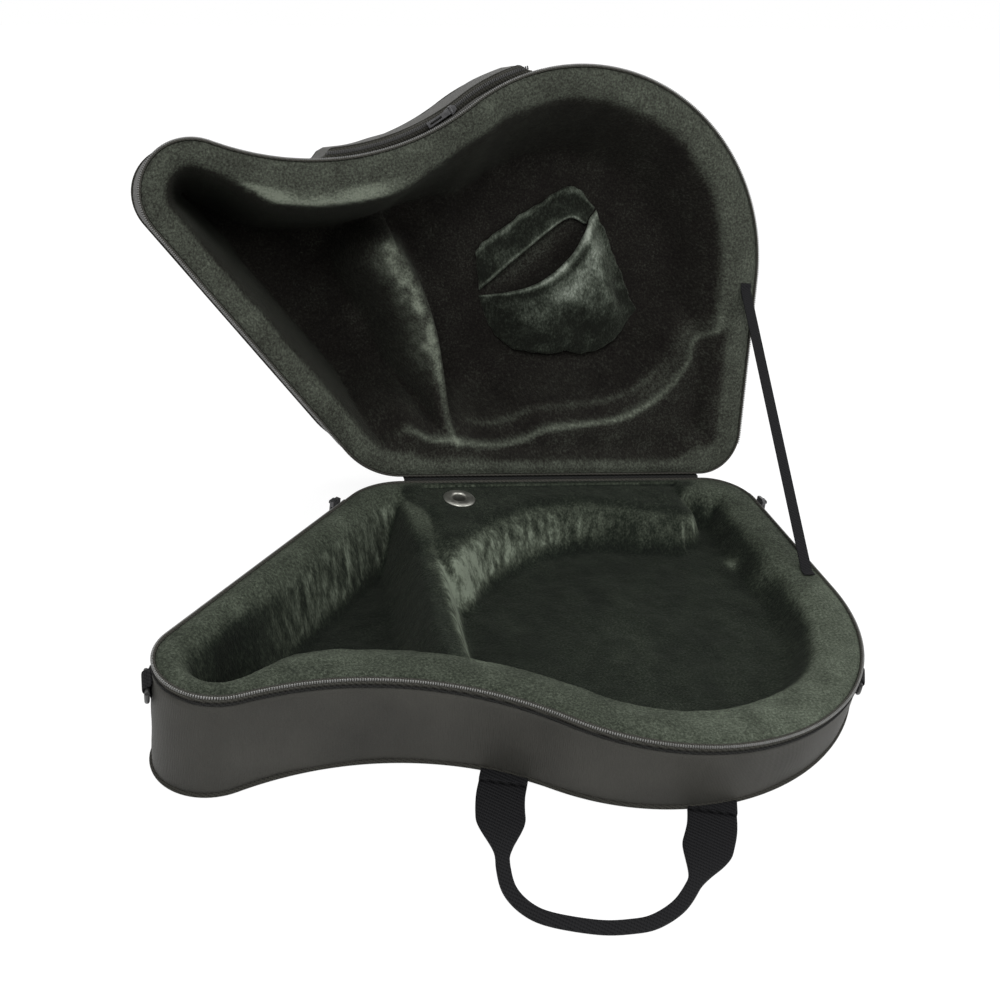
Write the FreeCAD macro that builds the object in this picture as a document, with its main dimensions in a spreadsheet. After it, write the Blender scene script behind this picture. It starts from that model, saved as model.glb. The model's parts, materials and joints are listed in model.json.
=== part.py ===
# A hard-shell French horn case with a zipped lid, standing open: lengths in millimetres, angles in degrees.
#
# Case frame: X runs along the hinge, Y points out of the back, and Z = 0 is the plane where the base and
# the closed lid meet. The base lies below that plane and the closed lid above it, with the same outline.
# The case frame is tilted about Y, so that the sloping bottom of the base lies flat on Z = 0 of the row.
import FreeCAD, Part
import math
import os
import Sketcher

os.makedirs("parts", exist_ok=True)
doc = FreeCAD.newDocument("horn_case")
V = FreeCAD.Vector

# ---------------------------------------------------------------- driving dimensions
SIZES = [
    # plan outline, seen from above: arcs joined by tangent lines
    ("lobe_radius", 199.8, "round end that takes the coiled tubing"),
    ("lobe_centre_x", 120.2, ""),
    ("lobe_centre_reach", 215.7, "from the hinge line forwards"),
    ("bell_radius", 49.6, "corner at the bell's end"),
    ("bell_centre_x", -270.4, ""),
    ("bell_centre_reach", 268.0, ""),
    ("waist_radius", 271.4, "hollow between the bell corner and the lobe"),
    ("left_corner_radius", 77.3, "hinge corner beside the bell trench"),
    ("left_corner_x", -64.5, ""),
    ("right_corner_radius", 45.2, "hinge corner beside the lobe"),
    ("right_corner_x", 273.3, ""),
    # depths at X = 0, and how they grow towards the bell
    ("base_depth", 77.3, ""),
    ("base_taper", 5.5, "degrees, the tilt of the parting plane on the floor"),
    ("lid_depth", 156.0, ""),
    ("lid_taper", 16.2, "degrees"),
    ("lid_opening", 107.7, "degrees, set by the stay strap"),
    # walls
    ("cover_skin", 1.5, "nylon cover"),
    ("shell_wall", 5.0, "rigid shell"),
    ("pad_floor", 8.0, "plush pad on the shell's floor"),
    ("base_rim", 34.0, "outline to the inside of the base's padded rim"),
    ("lid_rim", 28.0, ""),
    ("lid_roll", 30.0, "depth of the lid's padded rim, before its lining thins"),
    ("lid_wall_pad", 12.0, ""),
    ("edge_gap", 0.6, "each half's edge to the parting plane"),
    ("hinge_offset", 2.2, "hinge axis behind the back wall"),
    ("hinge_bead", 1.8, "radius of the fabric hinge's fold"),
    ("back_bay_wall", 9.0, "back of the outline to the shelf and ledge"),
    # zip and edgings
    ("zip_band", 10.0, "height of each zip tape"),
    ("chain_height", 4.0, ""),
    ("chain_proud", 1.8, ""),
    ("binding_height", 3.0, ""),
    ("binding_proud", 2.0, ""),
    ("piping_height", 5.5, ""),
    ("piping_proud", 2.5, ""),
    ("zip_end", 34.0, "the zips stop this far in front of the hinge"),
    # foam blocks
    ("shelf_drop", 4.0, "top of the mouthpiece block below the parting plane"),
    ("divider_drop", 16.0, ""),
    ("lid_ledge_drop", 22.0, ""),
    ("lid_divider_drop", 48.0, ""),
    # mouthpiece holder
    ("grommet_x", -12.0, ""),
    ("grommet_reach", 31.0, ""),
    ("grommet_bore", 7.5, "radius"),
    ("grommet_barrel", 10.0, "radius"),
    ("grommet_flange", 16.5, "radius"),
    ("flange_thick", 2.0, ""),
    ("barrel_length", 14.0, ""),
    ("mouthpiece_well", 48.0, "depth of the hole under the grommet"),
    # webbing
    ("webbing_thick", 1.6, ""),
    ("strap_width", 12.0, "stay strap"),
    ("strap_lid_reach", 204.0, "hinge to the strap's lid end, along the lid"),
    ("strap_base_reach", 189.0, "hinge to the strap's base end"),
    ("strap_anchor_side", 14.0, ""),
    ("strap_anchor_thick", 1.0, "thin enough for the rims to close over it"),
    ("strap_end_gap", 1.2, "each end of the strap to its anchor's middle"),
    ("seat_gap", 0.3, "soft pieces that lie against each other"),
    ("handle_span", 170.6, "between the handle's roots"),
    ("handle_reach", 128.0, "how far the loop reaches"),
    ("handle_band", 18.0, "folded grip webbing"),
    ("handle_thick", 5.0, ""),
    ("handle_root_width", 40.0, ""),
    ("handle_root_length", 48.0, ""),
    ("handle_centre_x", 29.8, "middle of the handle's turning axis"),
    ("handle_centre_reach", 392.4, ""),
    ("handle_heading", -23.5, "degrees, the turning axis against X"),
    ("anchor_length", 60.0, "webbing sewn across the lid's panel"),
    ("anchor_thick", 2.5, ""),
    ("lid_handle_inset", 18.0, "further in from the edge than the base's handle"),
    ("lid_handle_lift", 0.5, "handle over its webbing ends"),
    # D-rings
    ("ring_span", 30.0, ""),
    ("ring_wire", 2.0, "radius"),
    ("ring_clearance", 0.25, ""),
    ("tab_height", 16.0, ""),
    ("tab_thick", 8.0, ""),
    ("tab_drop", 1.0, "top of the tab below the zip binding"),
    # zip sliders
    ("slider_length", 13.0, ""),
    ("slider_height", 8.0, ""),
    ("slider_depth", 3.2, ""),
    ("slider_gap", 0.5, "slider to chain"),
    ("pull_length", 28.0, ""),
    ("pull_width", 5.4, ""),
    ("pull_thick", 1.6, ""),
    ("pin_radius", 0.9, ""),
    ("pin_clearance", 0.3, ""),
    ("knuckle_wall", 0.8, "round the pull's eye"),
    ("ear_thick", 1.2, ""),
    ("left_slider_reach", 43.0, "open, the sliders stand by the hinge"),
    ("right_slider_reach", 53.0, ""),
    # outer pocket on the lid's front wall
    ("pocket_proud", 12.0, ""),
    ("pocket_skin", 1.6, ""),
    ("pocket_top", 30.0, "parting plane to the pocket's mouth"),
    ("pocket_height", 85.0, ""),
    ("pocket_left", -150.0, ""),
    ("pocket_right", 62.0, ""),
    ("pocket_zip_thick", 1.2, ""),
    ("pocket_slider_x", -25.0, "on the stretch of the zip that follows the waist arc"),
    # inner pouch in the lid
    ("pouch_x", 121.0, ""),
    ("pouch_reach", 199.0, ""),
    ("pouch_turn", 26.0, "degrees"),
    ("pouch_width", 136.0, ""),
    ("pouch_length", 150.0, ""),
    ("pouch_depth", 24.0, ""),
    ("pouch_wall", 2.5, ""),
]
sheet = doc.addObject("Spreadsheet::Sheet", "sizes")
for row, (alias, value, note) in enumerate(SIZES, start=1):
    sheet.set(f"A{row}", alias)
    sheet.set(f"B{row}", str(value))
    sheet.set(f"C{row}", note)
    sheet.setAlias(f"B{row}", alias)
doc.recompute()


def size(alias):
    return float(sheet.get(alias))


def bind(obj, prop, expression):
    """Ties a property to the sheet: words that are aliases become references."""
    for alias, _, _ in SIZES:
        expression = expression.replace(f"[{alias}]", f"sizes.{alias}")
    obj.setExpression(prop, expression)
    return obj


# ---------------------------------------------------------------- frames
TILT = size("base_taper")
tilted = FreeCAD.Rotation(V(0, 1, 0), TILT)
# the row's origin is on the floor, under the middle of the plan
plan_front = size("lobe_centre_reach") + size("lobe_radius")
floor_below = V(0, plan_front / 2, size("base_depth"))
BASE = FreeCAD.Placement(tilted.multVec(floor_below), tilted)
hinge_point = V(0, size("hinge_offset"), 0)
opened = FreeCAD.Rotation(V(1, 0, 0), -size("lid_opening"))
to_hinge = FreeCAD.Placement(-hinge_point, FreeCAD.Rotation())
LID = BASE.multiply(FreeCAD.Placement(hinge_point, opened)).multiply(to_hinge)
SUBPARTS = []


def keep(obj, label, frame=BASE):
    """Names a finished sub-part and sets it in its frame."""
    obj.Label = label
    obj.Placement = frame
    SUBPARTS.append(obj)
    return obj


# ---------------------------------------------------------------- the plan outline
def external_tangent(ca, ra, cb, rb, side):
    """Ends of the line that touches two circles on the same side."""
    line = cb - ca
    along = V(line).normalize()
    across = V(-along.y, along.x, 0) * side
    cosine = (ra - rb) / line.Length
    normal = along * cosine + across * math.sqrt(1 - cosine**2)
    return ca + normal * ra, cb + normal * rb


def outline_points(out=0.0):
    """Centres and joints of the outline moved outwards, from the driving dimensions."""
    lobe = V(size("lobe_centre_x"), -size("lobe_centre_reach"), 0)
    bell = V(size("bell_centre_x"), -size("bell_centre_reach"), 0)
    left = V(size("left_corner_x"), -size("left_corner_radius"), 0)
    right = V(size("right_corner_x"), -size("right_corner_radius"), 0)
    reach_bell = size("bell_radius") + size("waist_radius")
    reach_lobe = size("lobe_radius") + size("waist_radius")
    line = lobe - bell
    along = (line.Length**2 + reach_bell**2 - reach_lobe**2) / (2 * line.Length)
    unit = V(line).normalize()
    waist = bell + unit * along + V(unit.y, -unit.x, 0) * math.sqrt(reach_bell**2 - along**2)
    lobe_radius, bell_radius = size("lobe_radius") + out, size("bell_radius") + out
    left_radius, right_radius = size("left_corner_radius") + out, size("right_corner_radius") + out
    bell_waist = bell + (waist - bell).normalize() * bell_radius
    lobe_waist = lobe + (waist - lobe).normalize() * lobe_radius
    bell_diag, left_diag = external_tangent(bell, bell_radius, left, left_radius, 1)
    lobe_side, right_side = external_tangent(lobe, lobe_radius, right, right_radius, -1)
    return {
        "centres": (left, bell, waist, lobe, right),
        "left": (V(left.x, out, 0), left_diag),
        "bell": (bell_diag, bell_waist),
        "waist": (bell_waist, lobe_waist),
        "lobe": (lobe_waist, lobe_side),
        "right": (right_side, V(right.x, out, 0)),
    }


POINTS = outline_points()


def arc_between(sketch, centre, start, end):
    """Adds the counter-clockwise arc from start to end."""
    first = math.atan2(start.y - centre.y, start.x - centre.x)
    last = math.atan2(end.y - centre.y, end.x - centre.x)
    if last < first:
        last += 2 * math.pi
    circle = Part.Circle(centre, V(0, 0, 1), (start - centre).Length)
    return sketch.addGeometry(Part.ArcOfCircle(circle, first, last), False)


def case_outline(name, outwards="0"):
    """The plan as a constrained sketch of five tangent arcs and three lines, moved outwards."""
    sketch = doc.addObject("Sketcher::SketchObject", name)
    probe = doc.addObject("Part::Box", name + "_probe")
    bind(probe, "Length", f"1000 + {outwards}")
    doc.recompute()
    out = probe.Length.Value - 1000
    doc.removeObject(probe.Name)
    points = outline_points(out)
    left, bell, waist, lobe, right = points["centres"]
    # going round anticlockwise, seen from above; the waist bends the other way
    hinge = sketch.addGeometry(Part.LineSegment(points["right"][1], points["left"][0]), False)
    a_left = arc_between(sketch, left, *points["left"])
    diagonal = sketch.addGeometry(Part.LineSegment(points["left"][1], points["bell"][0]), False)
    a_bell = arc_between(sketch, bell, *points["bell"])
    a_waist = arc_between(sketch, waist, points["waist"][1], points["waist"][0])
    a_lobe = arc_between(sketch, lobe, *points["lobe"])
    side = sketch.addGeometry(Part.LineSegment(points["lobe"][1], points["right"][0]), False)
    a_right = arc_between(sketch, right, *points["right"])
    start, end, middle, origin = 1, 2, 3, -1
    joints = [
        (hinge, end, a_left, start),
        (a_left, end, diagonal, start),
        (diagonal, end, a_bell, start),
        (a_bell, end, a_waist, end),
        (a_waist, start, a_lobe, start),
        (a_lobe, end, side, start),
        (side, end, a_right, start),
        (a_right, end, hinge, start),
    ]
    for first, first_end, second, second_end in joints:
        sketch.addConstraint(Sketcher.Constraint("Tangent", first, first_end, second, second_end))
    sketch.addConstraint(Sketcher.Constraint("Horizontal", hinge))
    arcs = {
        "left_corner": (a_left, out, "+"),
        "bell": (a_bell, out, "+"),
        "waist": (a_waist, -out, "-"),
        "lobe": (a_lobe, out, "+"),
        "right_corner": (a_right, out, "+"),
    }
    for alias, (arc, grown, sign) in arcs.items():
        index = sketch.addConstraint(Sketcher.Constraint("Radius", arc, size(alias + "_radius") + grown))
        bind(sketch, f"Constraints[{index}]", f"[{alias}_radius] {sign} ({outwards})")
    across = (("left_corner", "left_corner_x"), ("bell", "bell_centre_x"))
    across += (("lobe", "lobe_centre_x"), ("right_corner", "right_corner_x"))
    for arc, alias in across:
        place = Sketcher.Constraint("DistanceX", origin, start, arcs[arc][0], middle, size(alias))
        bind(sketch, f"Constraints[{sketch.addConstraint(place)}]", f"[{alias}]")
    reaches = (("left_corner", "left_corner_radius"), ("bell", "bell_centre_reach"))
    reaches += (("lobe", "lobe_centre_reach"),)
    for arc, alias in reaches:
        place = Sketcher.Constraint("DistanceY", arcs[arc][0], middle, origin, start, size(alias))
        bind(sketch, f"Constraints[{sketch.addConstraint(place)}]", f"[{alias}]")
    return sketch


COLUMN = 400.0


def column(name, profile):
    """A tall prism of a plan profile, cut to height later by a slab."""
    prism = doc.addObject("Part::Extrusion", name)
    prism.Base = profile
    prism.DirMode = "Custom"
    prism.Dir = V(0, 0, 1)
    prism.LengthFwd = COLUMN
    prism.LengthRev = COLUMN
    prism.Solid = True
    return prism


def slab(name, low, high):
    """A wide plate between two planes given as (height at X = 0, rise per mm of X)."""
    sketch = doc.addObject("Sketcher::SketchObject", name + "_profile")
    sketch.Placement = FreeCAD.Placement(V(0, 0, 0), FreeCAD.Rotation(V(1, 0, 0), 90))
    probe = doc.addObject("Part::Box", name + "_probe")
    corners = []
    for x, plane in ((-COLUMN, low), (COLUMN, low), (COLUMN, high), (-COLUMN, high)):
        bind(probe, "Length", f"1000 + ({plane[0]}) + ({plane[1]}) * ({x})")
        doc.recompute()
        corners.append((x, probe.Length.Value - 1000, plane))
    doc.removeObject(probe.Name)
    points = [V(x, z, 0) for x, z, _ in corners]
    sides = []
    for index, point in enumerate(points):
        line = Part.LineSegment(point, points[(index + 1) % 4])
        sides.append(sketch.addGeometry(line, False))
    for index, side in enumerate(sides):
        following = sides[(index + 1) % 4]
        sketch.addConstraint(Sketcher.Constraint("Coincident", side, 2, following, 1))
    for side, (x, z, plane) in zip(sides, corners):
        place = Sketcher.Constraint("DistanceX", -1, 1, side, 1, x)
        sketch.addConstraint(place)
        if z < 0:
            level = sketch.addConstraint(Sketcher.Constraint("DistanceY", side, 1, -1, 1, -z))
            bind(sketch, f"Constraints[{level}]", f"-(({plane[0]}) + ({plane[1]}) * ({x}))")
        else:
            level = sketch.addConstraint(Sketcher.Constraint("DistanceY", -1, 1, side, 1, z))
            bind(sketch, f"Constraints[{level}]", f"({plane[0]}) + ({plane[1]}) * ({x})")
    plate = doc.addObject("Part::Extrusion", name)
    plate.Base = sketch
    plate.DirMode = "Custom"
    plate.Dir = V(0, 1, 0)
    plate.LengthFwd = COLUMN
    plate.LengthRev = 2 * COLUMN
    plate.Solid = True
    return plate


def cut(name, base, tool):
    made = doc.addObject("Part::Cut", name)
    made.Base = base
    made.Tool = tool
    return made


def common(name, *shapes):
    made = doc.addObject("Part::MultiCommon", name)
    made.Shapes = list(shapes)
    return made


def fuse(name, *shapes):
    made = doc.addObject("Part::MultiFuse", name)
    made.Shapes = list(shapes)
    return made


def box(name, low, high):
    """A box whose corner expressions are tied to the sheet."""
    made = doc.addObject("Part::Box", name)
    for axis, side in enumerate(("Length", "Width", "Height")):
        bind(made, f"Placement.Base.{'xyz'[axis]}", f"{low[axis]}")
        bind(made, side, f"({high[axis]}) - ({low[axis]})")
    return made


def polygon(name, corners, placement=None):
    """A closed sketch of straight sides through the corners."""
    sketch = doc.addObject("Sketcher::SketchObject", name)
    points = [V(x, y, 0) for x, y in corners]
    for index, point in enumerate(points):
        sketch.addGeometry(Part.LineSegment(point, points[(index + 1) % len(points)]), False)
    count = len(points)
    for index in range(count):
        sketch.addConstraint(Sketcher.Constraint("Coincident", index, 2, (index + 1) % count, 1))
    if placement:
        sketch.Placement = placement
    return sketch


# heights as (value at X = 0, rise per mm of X); the base's floor rises and the lid's top falls to the right
BASE_RISE = "tan([base_taper] * 1 deg)"
LID_RISE = "-tan([lid_taper] * 1 deg)"


def floor_plane(above):
    return f"-[base_depth] + ({above})", BASE_RISE


def top_plane(below):
    return f"[lid_depth] - ({below})", LID_RISE


def level(height):
    return height, "0"


# ---------------------------------------------------------------- plan columns
at_cover = column("column_cover", case_outline("outline_cover"))
at_shell = column("column_shell", case_outline("outline_shell", "-[cover_skin]"))
at_foam = column("column_foam", case_outline("outline_foam", "-[cover_skin] - [shell_wall]"))
at_base_cavity = column("column_base_cavity", case_outline("outline_base_cavity", "-[base_rim]"))
at_lid_cavity = column("column_lid_cavity", case_outline("outline_lid_cavity", "-[lid_rim]"))
deep_inset = "-[cover_skin] - [shell_wall] - [lid_wall_pad]"
at_lid_deep = column("column_lid_deep", case_outline("outline_lid_deep", deep_inset))
at_chain = column("column_chain", case_outline("outline_chain", "[chain_proud]"))
at_binding = column("column_binding", case_outline("outline_binding", "[binding_proud]"))
at_piping = column("column_piping", case_outline("outline_piping", "[piping_proud]"))
at_pocket = column("column_pocket", case_outline("outline_pocket", "[pocket_proud]"))
room_outline = case_outline("outline_pocket_room", "[pocket_proud] - [pocket_skin]")
at_pocket_room = column("column_pocket_room", room_outline)

# the zips stop short of the hinge
zip_stretch = box("zip_stretch", ("-400", "-800", "-400"), ("400", "-[zip_end]", "400"))


def half_case(side, floor, cavity_columns, rim_bay, edge):
    """Shell, covers, zip and edgings of one half; floor(d) is the plane d mm inside its outer face."""
    up = side == "lid"
    sign = "" if up else "-"

    def band(name, near, far):
        """Between two distances from the parting plane."""
        planes = [level(f"{sign}({near})"), level(f"{sign}({far})")]
        return slab(name, *(planes if up else planes[::-1]))

    def body(name, near, inside):
        """From a distance off the parting plane to a plane inside the outer face."""
        planes = [level(f"{sign}({near})"), floor(inside)]
        return slab(name, *(planes if up else planes[::-1]))

    def skin(name, inner, outer):
        """Between two planes inside the outer face."""
        planes = [floor(inner), floor(outer)]
        return slab(name, *(planes if up else planes[::-1]))

    ring = cut(f"{side}_skin_ring", at_cover, at_shell)
    shell_slab = body(f"{side}_shell_slab", "[edge_gap]", "[cover_skin]")
    whole = common(f"{side}_shell_block", at_shell, shell_slab)
    room = common(
        f"{side}_shell_room",
        at_foam,
        body(f"{side}_room_slab", "-20", "[cover_skin] + [shell_wall]"),
    )
    keep(cut(f"{side}_shell_cut", whole, room), f"{side}_shell", edge)
    keep(
        common(f"{side}_cover_ring", ring, body(f"{side}_cover_slab", "[zip_band]", "[cover_skin]")),
        f"{side}_side_cover",
        edge,
    )
    panel = "base_bottom_cover" if side == "base" else "lid_outer_panel"
    panel_slab = skin(f"{side}_panel_slab", "[cover_skin]", "0")
    keep(common(f"{side}_panel_skin", at_cover, panel_slab), panel, edge)
    piping = cut(f"{side}_piping_ring", at_piping, at_cover)
    piping_slab = skin(f"{side}_piping_slab", "[piping_height]", "0")
    keep(common(f"{side}_piping_cut", piping, piping_slab), f"{side}_panel_piping", edge)
    tape_slab = band(f"{side}_tape_slab", "[edge_gap]", "[zip_band]")
    keep(common(f"{side}_tape_cut", ring, tape_slab), f"{side}_zip_tape", edge)
    chain = cut(f"{side}_chain_ring", at_chain, at_cover)
    chain_slab = band(f"{side}_chain_slab", "[edge_gap]", "[edge_gap] + [chain_height]")
    keep(common(f"{side}_chain_cut", chain, chain_slab, zip_stretch), f"{side}_zip_chain", edge)
    binding = cut(f"{side}_binding_ring", at_binding, at_cover)
    binding_slab = band(f"{side}_binding_slab", "[zip_band] - [binding_height]", "[zip_band]")
    keep(common(f"{side}_binding_cut", binding, binding_slab, zip_stretch), f"{side}_zip_binding", edge)

    lined = "[cover_skin] + [shell_wall]"
    fill = common(f"{side}_foam_block", at_foam, body(f"{side}_foam_slab", "[edge_gap]", lined))
    plan = fuse(f"{side}_cavity_plan", cavity_columns[0], rim_bay)
    hollow = common(f"{side}_cavity", plan, body(f"{side}_cavity_slab", "-20", lined + " + [pad_floor]"))
    for deep in cavity_columns[1:]:
        deep_slab = body(f"{side}_deep_slab", "[lid_roll]", lined + " + [pad_floor]")
        wider = common(f"{side}_deep", deep, deep_slab)
        hollow = fuse(f"{side}_cavity_whole", hollow, wider)
    keep(cut(f"{side}_foam_cut", fill, hollow), f"{side}_lining", edge)
    return hollow


base_bay = box("base_bay", ("-84", "-90", "-300"), ("236", "-[back_bay_wall]", "300"))
lid_bay = box("lid_bay", ("-80", "-90", "-300"), ("240", "-[back_bay_wall]", "300"))
base_hollow = half_case("base", floor_plane, [at_base_cavity], base_bay, BASE)
lid_hollow = half_case("lid", top_plane, [at_lid_cavity, at_lid_deep], lid_bay, LID)

# ---------------------------------------------------------------- foam blocks in the base
pad_top = "[cover_skin] + [shell_wall] + [pad_floor]"
shelf_plan = polygon(
    "shelf_plan",
    [(-50, 0), (236, 0), (234, -58), (186, -48), (114, -30), (60, -42), (2, -76), (-36, -112), (-52, -118)],
)
shelf_solid = common(
    "shelf_solid",
    column("column_shelf", shelf_plan),
    base_hollow,
    slab("shelf_slab", floor_plane("0"), level("-[shelf_drop]")),
)
well = doc.addObject("Part::Cylinder", "mouthpiece_well")
bind(well, "Radius", "[grommet_barrel]")
bind(well, "Height", "[mouthpiece_well] + 10")
bind(well, "Placement.Base.x", "[grommet_x]")
bind(well, "Placement.Base.y", "-[grommet_reach]")
bind(well, "Placement.Base.z", "-[shelf_drop] - [mouthpiece_well]")
keep(cut("shelf_cut", shelf_solid, well), "mouthpiece_block")

divider_plan = polygon(
    "divider_plan",
    [(-76, 0), (-50, 0), (-52, -118), (-60, -300), (-88, -300), (-80, -122)],
)
keep(
    common(
        "divider_solid",
        column("column_divider", divider_plan),
        base_hollow,
        slab("divider_slab", floor_plane("0"), level("-[divider_drop]")),
    ),
    "bell_divider",
)

# ---------------------------------------------------------------- foam blocks in the lid
ledge_plan = polygon(
    "ledge_plan",
    [
        (-84, 0), (310, 0), (310, -120), (272, -120), (240, -92),
        (182, -60), (98, -48), (36, -30), (-30, -36), (-84, -42),
    ],
)
ledge_slab = slab("ledge_slab", level("[lid_ledge_drop]"), top_plane("0"))
ledge_solid = common("ledge_solid", column("column_ledge", ledge_plan), lid_hollow, ledge_slab)
keep(ledge_solid, "lid_ledge", LID)
lid_divider_plan = polygon(
    "lid_divider_plan",
    [
        (-22, -36.5), (2, -34.6), (-12, -120), (-30, -190),
        (-66, -228), (-82, -214), (-50, -178), (-36, -118),
    ],
)
lid_divider_slab = slab("lid_divider_slab", level("[lid_divider_drop]"), top_plane("0"))
lid_divider_column = column("column_lid_divider", lid_divider_plan)
lid_divider_solid = common("lid_divider_solid", lid_divider_column, lid_hollow, lid_divider_slab)
keep(lid_divider_solid, "lid_divider", LID)


# ---------------------------------------------------------------- small parts made as bodies
def new_body(name):
    return doc.addObject("PartDesign::Body", name)


def body_sketch(body, name, role="XY_Plane"):
    sketch = body.newObject("Sketcher::SketchObject", name)
    planes = [item for item in body.Origin.OriginFeatures if item.Role == role]
    sketch.AttachmentSupport = [(planes[0], "")]
    sketch.MapMode = "FlatFace"
    return sketch


def grommet():
    """The flanged metal eyelet that holds the mouthpiece, its flange on top at Z = 0."""
    body = new_body("grommet")
    sketch = body_sketch(body, "grommet_section", "XZ_Plane")
    bore, barrel, flange = size("grommet_bore"), size("grommet_barrel"), size("grommet_flange")
    thick, deep = size("flange_thick"), size("barrel_length")
    corners = [(bore, thick), (flange, thick), (flange, 0)]
    corners += [(barrel, 0), (barrel, -deep), (bore, -deep)]
    for index, corner in enumerate(corners):
        following = corners[(index + 1) % 6]
        line = Part.LineSegment(V(corner[0], corner[1], 0), V(following[0], following[1], 0))
        sketch.addGeometry(line, False)
    for index in range(6):
        sketch.addConstraint(Sketcher.Constraint("Coincident", index, 2, (index + 1) % 6, 1))
    for index in (0, 2, 4):
        sketch.addConstraint(Sketcher.Constraint("Horizontal", index))
    for index in (1, 3, 5):
        sketch.addConstraint(Sketcher.Constraint("Vertical", index))
    widths = ((0, "grommet_bore"), (1, "grommet_flange"), (3, "grommet_barrel"))
    for line, alias in widths:
        index = sketch.addConstraint(Sketcher.Constraint("DistanceX", -1, 1, line, 1, size(alias)))
        bind(sketch, f"Constraints[{index}]", f"[{alias}]")
    index = sketch.addConstraint(Sketcher.Constraint("DistanceY", -1, 1, 0, 1, thick))
    bind(sketch, f"Constraints[{index}]", "[flange_thick]")
    sketch.addConstraint(Sketcher.Constraint("PointOnObject", 3, 1, -1))
    index = sketch.addConstraint(Sketcher.Constraint("DistanceY", 4, 1, -1, 1, deep))
    bind(sketch, f"Constraints[{index}]", "[barrel_length]")
    turned = body.newObject("PartDesign::Revolution", "grommet_turned")
    turned.Profile = sketch
    turned.ReferenceAxis = (sketch, ["V_Axis"])
    turned.Angle = 360
    doc.recompute()
    rounded = body.newObject("PartDesign::Fillet", "grommet_rounded")
    tiny = 1e-6
    for number, edge in enumerate(turned.Shape.Edges, start=1):
        bounds = edge.BoundBox
        on_top = abs(bounds.ZMin - thick) < tiny and abs(bounds.ZMax - thick) < tiny
        if on_top and abs(bounds.XMax - flange) < tiny:
            rounded.Base = (turned, [f"Edge{number}"])
    bind(rounded, "Radius", "[flange_thick] * 0.6")
    return body


def in_case(x, reach, z, frame=BASE, turn=None):
    """A place in the case frame as a row placement."""
    return frame.multiply(FreeCAD.Placement(V(x, -reach, z), turn or FreeCAD.Rotation()))


grommet_place = in_case(size("grommet_x"), size("grommet_reach"), -size("shelf_drop"))
keep(grommet(), "mouthpiece_grommet", grommet_place)

# ---------------------------------------------------------------- fabric hinge
bead = doc.addObject("Part::Cylinder", "hinge_bead_solid")
bind(bead, "Radius", "[hinge_bead]")
bind(bead, "Height", "[right_corner_x] - [left_corner_x]")
lengthways = FreeCAD.Rotation(V(0, 1, 0), 90)
bead_place = in_case(size("left_corner_x"), -size("hinge_offset"), 0, BASE, lengthways)
keep(bead, "fabric_hinge", bead_place)


# ---------------------------------------------------------------- stay strap
def on_lobe(reach, inset):
    """A point on the lobe's right flank, inset from the outline."""
    rise = size("lobe_centre_reach") - reach
    radius = size("lobe_radius") - inset
    return size("lobe_centre_x") + math.sqrt(radius**2 - rise**2)


anchor_inset = size("cover_skin") + size("shell_wall") + size("strap_anchor_side") / 2
strap_ends = {}
for label, reach, frame, sign in (
    ("strap_anchor_base", size("strap_base_reach"), BASE, 1),
    ("strap_anchor_lid", size("strap_lid_reach"), LID, -1),
):
    plate = doc.addObject("Part::Box", label + "_plate")
    bind(plate, "Length", "[strap_anchor_side]")
    bind(plate, "Width", "[strap_anchor_side]")
    bind(plate, "Height", "[strap_anchor_thick]")
    half = size("strap_anchor_side") / 2
    across = on_lobe(reach, anchor_inset)
    # it lies on the padded rim, on the parting side of the edge
    low = -size("edge_gap") if sign > 0 else size("edge_gap") - size("strap_anchor_thick")
    corner = FreeCAD.Placement(V(across - half, -reach - half, low), FreeCAD.Rotation())
    keep(plate, label, frame.multiply(corner))
    strap_end = V(across, -reach, sign * (size("strap_anchor_thick") + size("seat_gap")))
    strap_ends[label] = frame.multVec(strap_end)
first, last = strap_ends["strap_anchor_base"], strap_ends["strap_anchor_lid"]
strap_line = last - first
strap_end_gap = size("strap_end_gap")
strap = doc.addObject("Part::Box", "stay_strap_band")
bind(strap, "Length", "[strap_width]")
bind(strap, "Width", "[webbing_thick]")
strap.Height = strap_line.Length - 2 * strap_end_gap
along = V(strap_line).normalize()
strap_turn = FreeCAD.Rotation(V(1, 0, 0), V(0, 0, 0), along, "ZXY")
start = first + along * strap_end_gap
corner = strap_turn.multVec(V(-size("strap_width") / 2, -size("webbing_thick") / 2, 0))
keep(strap, "stay_strap", FreeCAD.Placement(start + corner, strap_turn))


# ---------------------------------------------------------------- handles
def band_corners(path, width):
    """Corners of a flat band of one width along an open path, mitred at its turns."""
    steps = [(path[index + 1] - path[index]).normalize() for index in range(len(path) - 1)]
    left, right = [], []
    for index, point in enumerate(path):
        before = steps[max(index - 1, 0)]
        after = steps[min(index, len(steps) - 1)]
        across = V(-before.y - after.y, before.x + after.x, 0)
        across.normalize()
        across.multiply(width / 2 / across.dot(V(-after.y, after.x, 0)))
        left.append(point + across)
        right.append(point - across)
    return [(corner.x, corner.y) for corner in left + right[::-1]]


# middle of the grip webbing, as shares of the half span and of the reach
LOOP_SHARES = [
    (-1.00, 0.08), (-0.94, 0.34), (-0.88, 0.64), (-0.70, 0.88), (-0.42, 0.98),
    (0.02, 0.99), (0.45, 0.90), (0.70, 0.75), (0.83, 0.57), (0.94, 0.29), (1.00, 0.08),
]


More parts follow.
